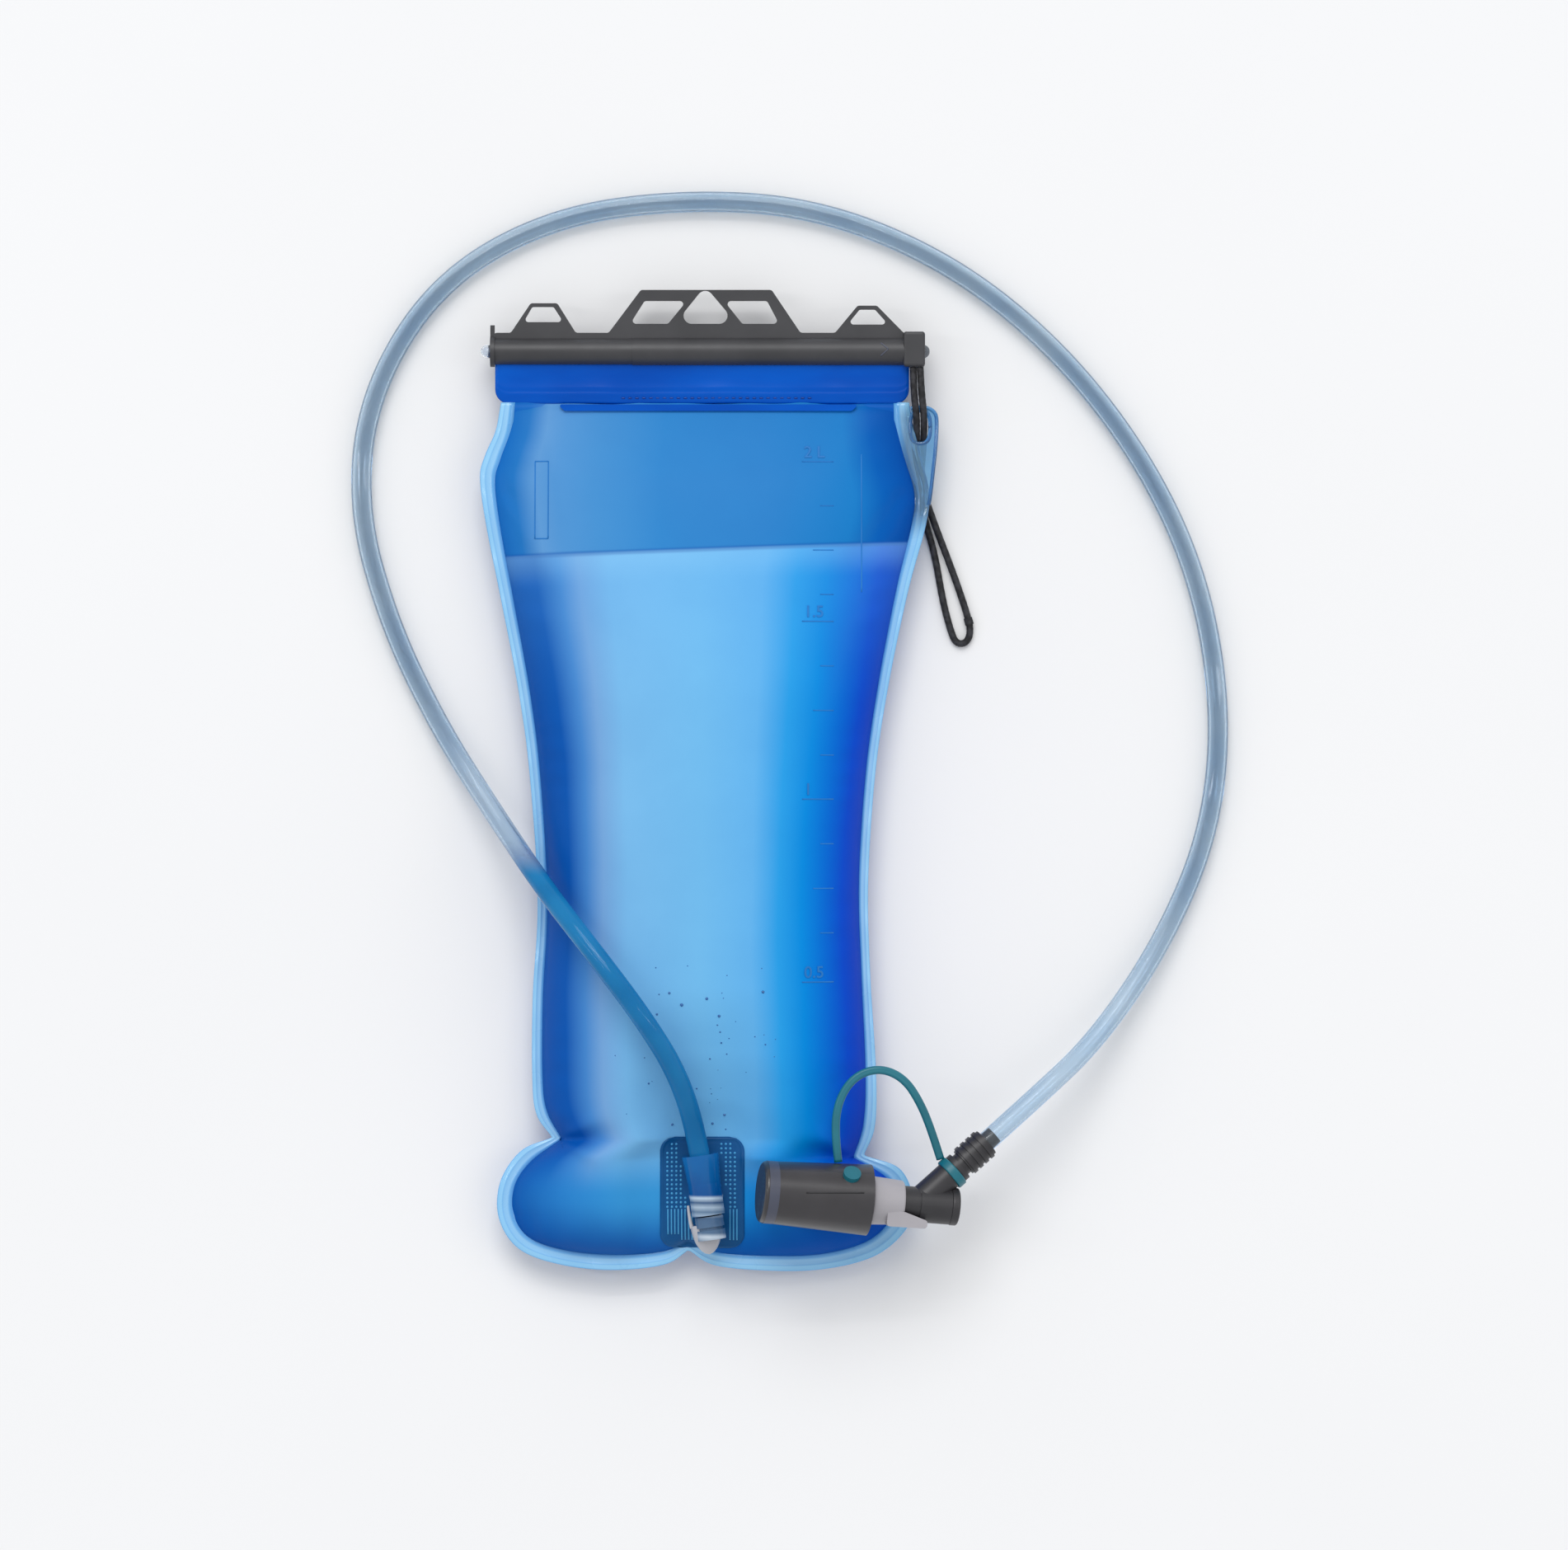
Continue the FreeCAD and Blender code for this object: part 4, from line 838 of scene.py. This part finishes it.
# The hood is blue down to its mouth, lighter towards its upper end as a painted highlight; below it
# the clear socket shows its rings, painted as pale bands on slate that stand for highlights on
# their edges.
port_clear = Shader("port_clear", 0.22, Specular_IOR_Level=0.25, Coat_Weight=0.2)
port_row = port_clear.add("MapRange")
port_row.inputs["From Min"].default_value = -0.190
port_row.inputs["From Max"].default_value = -0.152
port_clear.link(port_clear.axes()[1], port_row.inputs["Value"])
port_bands_and_painted_highlights = port_clear.bands(port_row.outputs["Result"], [
    (0.0, 120, 140, 160), (0.06, 196, 208, 220), (0.10, 84, 112, 142), (0.26, 74, 104, 138),
    (0.29, 150, 172, 194), (0.33, 96, 124, 152), (0.38, 168, 188, 206), (0.43, 60, 92, 130),
    (0.48, 186, 206, 224), (0.51, 0, 78, 146), (0.72, 4, 92, 158), (1.0, 6, 104, 172),
])
port_tint = port_clear.mottle((0.84, 0.88, 0.93, 1), (1, 1, 1, 1), 120.0, 3.0)
port_clear.colour(port_clear.mix(1.0, port_bands_and_painted_highlights, port_tint, "MULTIPLY"))
port_clear.bump(port_clear.noise(420.0, 2.0), 0.10, 0.00005)
silicone = moulded("silicone", srgb(196, 204, 210), 0.36, 0.04)
spring_steel = Shader("spring_steel", 0.3, Metallic=1.0)
spring_steel.colour(spring_steel.mottle((0.45, 0.45, 0.46, 1), (0.62, 0.62, 0.63, 1), 300.0))
clear_part = Shader("clear_part", 0.08, Transmission_Weight=0.85, IOR=1.4)
clear_part.colour(clear_part.mottle((0.66, 0.74, 0.86, 1), (0.80, 0.85, 0.92, 1), 40.0))
clear_part.bump(clear_part.noise(300.0), 0.1, 0.0001)
hem_blue = Shader("hem_blue", 0.26, Specular_IOR_Level=0.08, Coat_Weight=0.05, Coat_Roughness=0.12)
hem_blue.colour(hem_blue.mottle(srgb(0, 74, 176), srgb(0, 88, 194), 16.0, 3.0, 0.5, (1, 3, 1)))
hem_blue.bump(hem_blue.noise(120.0, 3.0, 0.5, (0.3, 1, 1)), 0.12, 0.0006)

dress(clamp_black, "slide_clamp")
dress(clear_part.material, "closure_rod")
dress(hem_blue.material, "mouth_lip")
dress(pad_blue, "port_inner_flange")
dress(port_clear.material, "hose_elbow", "port_socket")
dress(seal_black, "elbow_o_rings", "connector_o_ring", "spool_o_rings")
dress(button_grey, "release_button")
dress(spring_steel.material, "release_spring")
dress(mouth_black, "valve_body", "valve_end_plug", "branch_connector", "hose_end_collar")
dress(collar_grey, "shutoff_collar", "shutoff_spool")
dress(cap_black, "cap_shell")
dress(band_grey, "cap_end_ring")
dress(teal, "strap_plug", "strap_ring")
dress(silicone, "bite_valve")
dress(cord_black.material, "tether_sleeve")


# ---------------------------------------------------------------- release tip

tip_grey = moulded("tip_grey", srgb(176, 176, 182), 0.30, 0.08, 600.0, 0.00003, Coat_Weight=0.3)
TIP_START, TIP_END = (0.0004, -0.1830, 0.0315), (0.0020, -0.1952, 0.0315)
tip_line = np.linspace(TIP_START, TIP_END, 26)


def tip_section(row, share):
    """A rounded nose that narrows to its end, a little lower than it is wide."""
    reach = 0.0061 * (1 - share ** 2.2) ** 0.6 + 0.0002
    ring = circle(reach, 32)
    ring[:, 1] *= 0.72
    return ring


tip = swept("release_tip", tip_line, tip_section, tip_grey)
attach(tip, "release")
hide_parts("release_button")
for side, arm_line in (
    ("left", [(-0.0052, -0.1845, 0.0320), (-0.0064, -0.1800, 0.0324), (-0.0068, -0.1752, 0.0328)]),
    ("right", [(0.0062, -0.1850, 0.0320), (0.0066, -0.1805, 0.0324), (0.0062, -0.1760, 0.0328)]),
):
    arm = swept(f"release_arm_{side}", spline_points(arm_line, 10),
                lambda row, share: circle(0.0009 - 0.0004 * share, 14), tip_grey)
    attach(arm, "release")


# ---------------------------------------------------------------- textured port pad

PORT = Vector((0.0005, -0.171))
PORT_LEAN = math.radians(8)
PAD_LEFT, PAD_RIGHT, PAD_FOOT, PAD_HEAD = -0.0184, 0.0163, -0.1935, -0.1472
PAD_THICK = 0.0012
PAD_CORNER = 0.0062
PAD_ROWS, PAD_COLUMNS = 72, 54


def corner_inset(near, radius):
    """How far a round corner draws an edge in, that far from the side it turns into."""
    if near >= radius:
        return 0.0
    return radius - math.sqrt(max(0.0, radius ** 2 - (radius - near) ** 2))


def from_port(x, y):
    """Distance beside the hose's line at the port, positive to the right."""
    return (x - PORT.x) * math.cos(PORT_LEAN) + (y - PORT.y) * math.sin(PORT_LEAN)


def pad_level(x, y):
    """Top of the pad where it lies on the film."""
    return float(front_height(np.array([x]), np.array([y]))[0]) + PAD_THICK


def pad_sheet():
    """A sheet with round corners and a groove inside its edge, laid on the film."""
    middle = (PAD_LEFT + PAD_RIGHT) / 2
    half = (PAD_RIGHT - PAD_LEFT) / 2
    tops, feet = [], []
    for y in np.linspace(PAD_FOOT, PAD_HEAD, PAD_ROWS):
        near = min(y - PAD_FOOT, PAD_HEAD - y)
        reach = half - corner_inset(near, PAD_CORNER)
        for share in np.linspace(-1, 1, PAD_COLUMNS):
            x = middle + share * reach
            inset = min(near, (1 - abs(share)) * reach)
            soft = min(1.0, inset / 0.0007)
            groove = 0.00025 * math.exp(-((inset - 0.0017) / 0.0005) ** 2)
            bevel = PAD_THICK * 0.6 * (1 - math.sqrt(1 - (1 - soft) ** 2))
            top = pad_level(x, y) - bevel - groove
            tops.append((x, y, top))
            feet.append((x, y, top - 0.0004 - 0.0006 * soft))
    return outward(mesh_object("pad_sheet", tops + feet, sheet_faces(PAD_ROWS, PAD_COLUMNS),
                               pad_blue))


pad = pad_sheet()
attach(pad, "bag")
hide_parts("port_pad")


class Many:
    """Many small closed forms gathered into one mesh."""

    def __init__(self):
        self.points = []
        self.faces = []

    def add(self, points, faces):
        start = len(self.points)
        self.points += points
        self.faces += [tuple(i + start for i in face) for face in faces]

    def dome(self, x, y, z, radius, height, sides=10):
        """A low dome with a flat base."""
        rings = [(1.0, 0.0), (0.86, 0.55), (0.5, 0.88)]
        points = [(x + radius * r * math.cos(2 * math.pi * k / sides),
                   y + radius * r * math.sin(2 * math.pi * k / sides), z + height * h)
                  for r, h in rings for k in range(sides)]
        points.append((x, y, z + height))
        faces = grid_faces(3, sides, True)
        faces += [(2 * sides + k, 2 * sides + (k + 1) % sides, 3 * sides) for k in range(sides)]
        faces.append(tuple(range(sides))[::-1])
        self.add(points, faces)

    def ridge(self, line, width, height, sink=0.0003):
        """A rounded ridge along a line of points on a surface."""
        line = [Vector(p) for p in line]
        section = [(-1, -sink / height), (-0.8, 0.55), (0, 1.0), (0.8, 0.55), (1, -sink / height)]
        points = []
        for index, here in enumerate(line):
            way = line[min(index + 1, len(line) - 1)] - line[max(index - 1, 0)]
            side = Vector((way.y, -way.x, 0)).normalized() * width / 2
            for across, up in section:
                points.append(tuple(here + side * across + Vector((0, 0, up * height))))
        self.add(points, tube_faces(len(line), len(section), True))

    def build(self, name, material):
        return outward(mesh_object(name, self.points, self.faces, material))


texture = Many()
PITCH, RIB_PITCH = 0.00185, 0.00142
for row in range(15):
    y = PAD_HEAD - 0.0030 - row * PITCH
    for column in range(17):
        x = PAD_LEFT + 0.0030 + column * PITCH
        if x > PAD_RIGHT - 0.0026 or abs(from_port(x, y)) < 0.0086:
            continue
        if row < 2 and (column < 1 or x > PAD_RIGHT - 0.0048):
            continue
        texture.dome(x, y, pad_level(x, y) - 0.0001, 0.00056, 0.00042)
for column in range(21):
    x = PAD_LEFT + 0.0032 + column * RIB_PITCH
    away = abs(from_port(x, -0.184))
    if x > PAD_RIGHT - 0.0030 or away < 0.0072:
        continue
    end = -0.1900 if away < 0.0130 else -0.1876
    texture.ridge([(x, y, pad_level(x, y)) for y in np.linspace(-0.1770, end, 7)],
                  0.00065, 0.00036)
pad_light = moulded("pad_light", srgb(74, 158, 208), 0.30, 0.10, 500.0, 0.00003,
                    Specular_IOR_Level=0.15)
relief = texture.build("pad_relief", pad_light)
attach(relief, "bag")


# ---------------------------------------------------------------- hem, lip and tab

HEM_LEFT, HEM_RIGHT = -0.0867, 0.0843
AXIS_Y = 0.1766
HEM_FOOT = 0.1549
HEM_CORNER = 0.006
HEM_SECTION = [(0.0, 0.0), (0.00035, 0.55), (0.0010, 0.8), (0.0030, 0.8), (0.0036, 1.05),
               (0.0042, 0.8), (0.0052, 0.8), (0.0058, 0.98), (0.0064, 0.8), (0.0100, 0.8),
               (0.0140, 0.8), (0.0170, 0.8)]
def hem_sheet():
    """The doubled hem, wavy at its foot, with its section mirrored under the seam."""
    bend = np.linspace(0, math.pi / 2, 10)
    xs = np.concatenate([HEM_LEFT + HEM_CORNER * (1 - np.cos(bend)),
                         np.linspace(HEM_LEFT + 0.007, HEM_RIGHT - 0.007, 100),
                         HEM_RIGHT - HEM_CORNER * (1 - np.sin(bend))])
    points = []
    for x in xs:
        near = min(x - HEM_LEFT, HEM_RIGHT - x)
        foot = HEM_FOOT + corner_inset(near, HEM_CORNER)
        foot += 0.00018 * math.sin(x * 150) * math.sin(x * 61 + 0.6)
        shut = 0.35 + 0.65 * min(1.0, near / 0.0008)
        upper = []
        for up, level in HEM_SECTION:
            y = foot + up * (0.1739 - foot) / 0.017
            loose = 1 - smoothstep(np.array(y), 0.162, 0.170)
            wave = 0.00030 * math.sin(x * 118 + 0.7) + 0.00018 * math.sin(x * 263)
            upper.append((y, level * MM * shut, float(wave * loose)))
        points += [(x, y, SEAM + z + w) for y, z, w in upper]
        points += [(x, y, SEAM - z + w) for y, z, w in upper[:0:-1]]
    faces = tube_faces(len(xs), 2 * len(HEM_SECTION) - 1, True)
    return outward(mesh_object("hem", points, faces, hem_blue.material))


hem = hem_sheet()
roll_line = np.stack([np.linspace(HEM_LEFT, HEM_RIGHT, 40), np.full(40, AXIS_Y),
                      np.full(40, SEAM)], axis=1)
roll = swept("hem_roll", roll_line, lambda row, share: circle(0.0036, 32), hem_blue.material,
             lambda row, share: circle(0.00245, 32))
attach(hem, "bag")
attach(roll, "bag")
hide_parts("top_fold_hem")

dashes = Many()
DASH_X, DASH_Y, DASH_PITCH = -0.0345, 0.1574, 0.00285
for number in range(28):
    x = DASH_X + number * DASH_PITCH
    dashes.ridge([(x + k * 0.00034, DASH_Y, SEAM + 0.00086 + 0.0003 * math.sin(x * 118 + 0.7))
                  for k in range(5)], 0.00062, 0.00030)
dash_blue = moulded("dash_blue", srgb(0, 58, 150), 0.3, 0.1, 400.0, 0.00002)
stitch = dashes.build("lip_dashes", dash_blue)
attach(stitch, "bag")

tab_line = flowing([
    (84.9, 153.2, 0, 0), (88.5, 153.6, 0, 0), (92.6, 153.0, 0, 0), (95.2, 150.6, 0, 0),
    (95.7, 146.0, 0, 0), (95.3, 138.0, 0, 0), (94.3, 128.0, 0, 0), (92.9, 116.0, 0, 0),
    (92.2, 113.2, 0, 0)], 8)[:, :2]
SLOT_X, SLOT_Y = 0.0889, 0.1454


def slot_line(reach_x, reach_y, count=40):
    """A rounded slot round the eyelet's middle."""
    turn = np.linspace(0, 2 * math.pi, count, endpoint=False)
    x = np.sign(np.cos(turn)) * np.abs(np.cos(turn)) ** 0.72 * reach_x
    y = np.sign(np.sin(turn)) * np.abs(np.sin(turn)) ** 0.72 * reach_y
    return np.stack([SLOT_X + x, SLOT_Y + y], axis=1)


def plate(name, loops, low, high, material):
    """A flat plate between two levels, with the later loops as holes."""
    flat = [[Vector((p[0], p[1], 0)) for p in loop] for loop in loops]
    triangles = tessellate_polygon(flat)
    places = [p for loop in flat for p in loop]
    count = len(places)
    points = [(p.x, p.y, low) for p in places] + [(p.x, p.y, high) for p in places]
    faces = [tuple(t) for t in triangles] + [tuple(i + count for i in t) for t in triangles]
    start = 0
    for loop in flat:
        for k in range(len(loop)):
            a, b = start + k, start + (k + 1) % len(loop)
            faces.append((a, b, b + count, a + count))
        start += len(loop)
    return outward(mesh_object(name, points, faces, material, smooth=False))


tab_film = Shader("tab_film", 0.03, Transmission_Weight=0.72, IOR=1.12, Specular_IOR_Level=0.2)
tab_film.colour(tab_film.mottle(srgb(140, 196, 238), srgb(160, 210, 244), 24.0, 3.0))
tab_film.bump(tab_film.noise(120.0, 1.0), 0.02, 0.0001)
inner_side = [(0.0908, 0.1132), (0.0905, 0.1240), (0.0882, 0.1330), (0.0856, 0.1440)]
tab_plate = plate("tab_plate", [list(map(tuple, tab_line)) + inner_side,
                                list(map(tuple, slot_line(0.0040, 0.0066)))],
                  SEAM - 0.0004, SEAM + 0.0004, tab_film.material)
bead_places = np.column_stack([tab_line, np.full(len(tab_line), SEAM)])
tab_bead = swept("tab_bead", bead_places, lambda row, share: circle(0.00082, 12),
                 weld_pale.material)
slot_places = slot_line(0.0041, 0.0068, 48)
slot_places = np.column_stack([slot_places, np.full(len(slot_places), SEAM)])
slot_places = np.vstack([slot_places, slot_places[:1]])
slot_bead = swept("slot_bead", slot_places, lambda row, share: circle(0.00085, 12),
                  weld_pale.material)
for piece, node in ((tab_plate, "hang_tab"), (tab_bead, None), (slot_bead, "tab_eyelet")):
    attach(piece, "bag")
    if node:
        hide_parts(node)


# ---------------------------------------------------------------- marks and bubbles

def on_film(x, y, lift=0.0):
    return (x, y, float(front_height(np.array([x]), np.array([y]))[0]) + lift)


marks = Many()
MARK_STEP = 0.002
MARK_DROP = 0.0012  # the lines lie this far under their figures
MARK_PITCH = 0.0183


def mark_line(x0, y0, x1, y1, width=0.0006, height=0.00022):
    steps = max(3, int(math.hypot(x1 - x0, y1 - y0) / MARK_STEP))
    marks.ridge([on_film(x0 + (x1 - x0) * k / steps, y0 + (y1 - y0) * k / steps)
                 for k in range(steps + 1)], width, height)


mark_line(0.0645, 0.1340, 0.0645, 0.0770)
for x0, y0, x1, y1 in ((-0.0700, 0.1310, -0.0645, 0.1310), (-0.0645, 0.1310, -0.0645, 0.0990),
                       (-0.0645, 0.0990, -0.0700, 0.0990), (-0.0700, 0.0990, -0.0700, 0.1310)):
    mark_line(x0, y0, x1, y1)
LEVELS = [("2 L", 0.132), ("1.5", 0.066), ("1", -0.007), ("0.5", -0.082)]
for _, y in LEVELS:
    mark_line(0.0400, y - MARK_DROP, 0.0530, y - MARK_DROP)
    for k in (1, 2, 3):
        if y > -0.08:
            low = y - MARK_DROP - k * MARK_PITCH
            mark_line(0.0475 if k != 2 else 0.0445, low, 0.0530, low, 0.0005, 0.00018)
mark_blue = moulded("mark_blue", srgb(44, 122, 196), 0.36, 0.08, 500.0, 0.00002,
                    Specular_IOR_Level=0.1)
scale_marks = marks.build("scale_marks", mark_blue)
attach(scale_marks, "bag")
for number, (text, y) in enumerate(LEVELS):
    letters = bpy.data.curves.new("letters", "FONT")
    letters.body = text
    letters.size = 0.0068
    letters.extrude = 0.00022
    letters.bevel_depth = 0.00006
    letters.resolution_u = 4
    mesh = mesh_of(letters)
    for vertex in mesh.vertices:
        x, height = 0.0408 + vertex.co.x, vertex.co.z
        place = on_film(x, y + 0.0006 + vertex.co.y)
        vertex.co = (place[0], place[1], place[2] + 0.00004 + height)
    mesh.materials.clear()
    mesh.materials.append(mark_blue)
    figure = link(bpy.data.objects.new(f"scale_figure_{number}", mesh))
    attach(figure, "bag")

bubbles = Many()
BUBBLES, SEED = 46, 7
drawn = np.random.default_rng(SEED)
for _ in range(BUBBLES):
    x = float(np.clip(drawn.normal(0.006, 0.020), -0.050, 0.048))
    y = -0.146 + float(drawn.beta(1.3, 2.0)) * 0.078
    size = 0.00022 + 0.00055 * float(drawn.random()) ** 2.2
    bubbles.dome(*on_film(x, y, -0.00004), size, size * 0.7, 12)
bubble_blue = moulded("bubble_blue", srgb(20, 92, 158), 0.12, 0.1, 400.0, 0.00001,
                      Coat_Weight=0.5)
air = bubbles.build("air_bubbles", bubble_blue)
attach(air, "bag")


# ---------------------------------------------------------------- moulded lines

LINE_STEPS = 12


def on_node(name, x, y):
    """The highest point of a CAD node at a place, or None beside the node."""
    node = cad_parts[name]
    inward = node.matrix_world.inverted()
    found, place, _, _ = node.ray_cast(inward @ Vector((x, y, 0.2)),
                                       inward.to_3x3() @ Vector((0, 0, -1)))
    return tuple(node.matrix_world @ place) if found else None


def moulded_line(name, node, body, corners, width, height, material):
    """Ridges between corners, laid on a CAD node."""
    lines = Many()
    for (x0, y0), (x1, y1) in zip(corners, corners[1:]):
        places = [on_node(node, x0 + (x1 - x0) * k / LINE_STEPS, y0 + (y1 - y0) * k / LINE_STEPS)
                  for k in range(LINE_STEPS + 1)]
        lines.ridge([place for place in places if place], width, height)
    made = lines.build(name, material)
    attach(made, body)


moulded_line("cap_line", "cap_shell", "cap",
             [(0.0418, -0.1683), (0.0653, -0.1685)], 0.0007, 0.00030, seal_black)
moulded_line("clamp_chevron", "slide_clamp", "clamp",
             [(0.0725, 0.1800), (0.0756, 0.1774), (0.0725, 0.1746)], 0.0006, 0.00025, band_grey)


# ---------------------------------------------------------------- floor

FLOOR = 80.0  # half of the floor's width
floor_pale = Shader("floor_pale", 0.8, Specular_IOR_Level=0.1)
floor_pale.colour(floor_pale.mottle((0.860, 0.862, 0.866, 1), (0.870, 0.872, 0.876, 1), 3.0, 2.0))
floor = mesh_object("floor", [(-FLOOR, -FLOOR, 0), (FLOOR, -FLOOR, 0), (FLOOR, FLOOR, 0),
                              (-FLOOR, FLOOR, 0)], [(0, 1, 2, 3)], floor_pale.material)
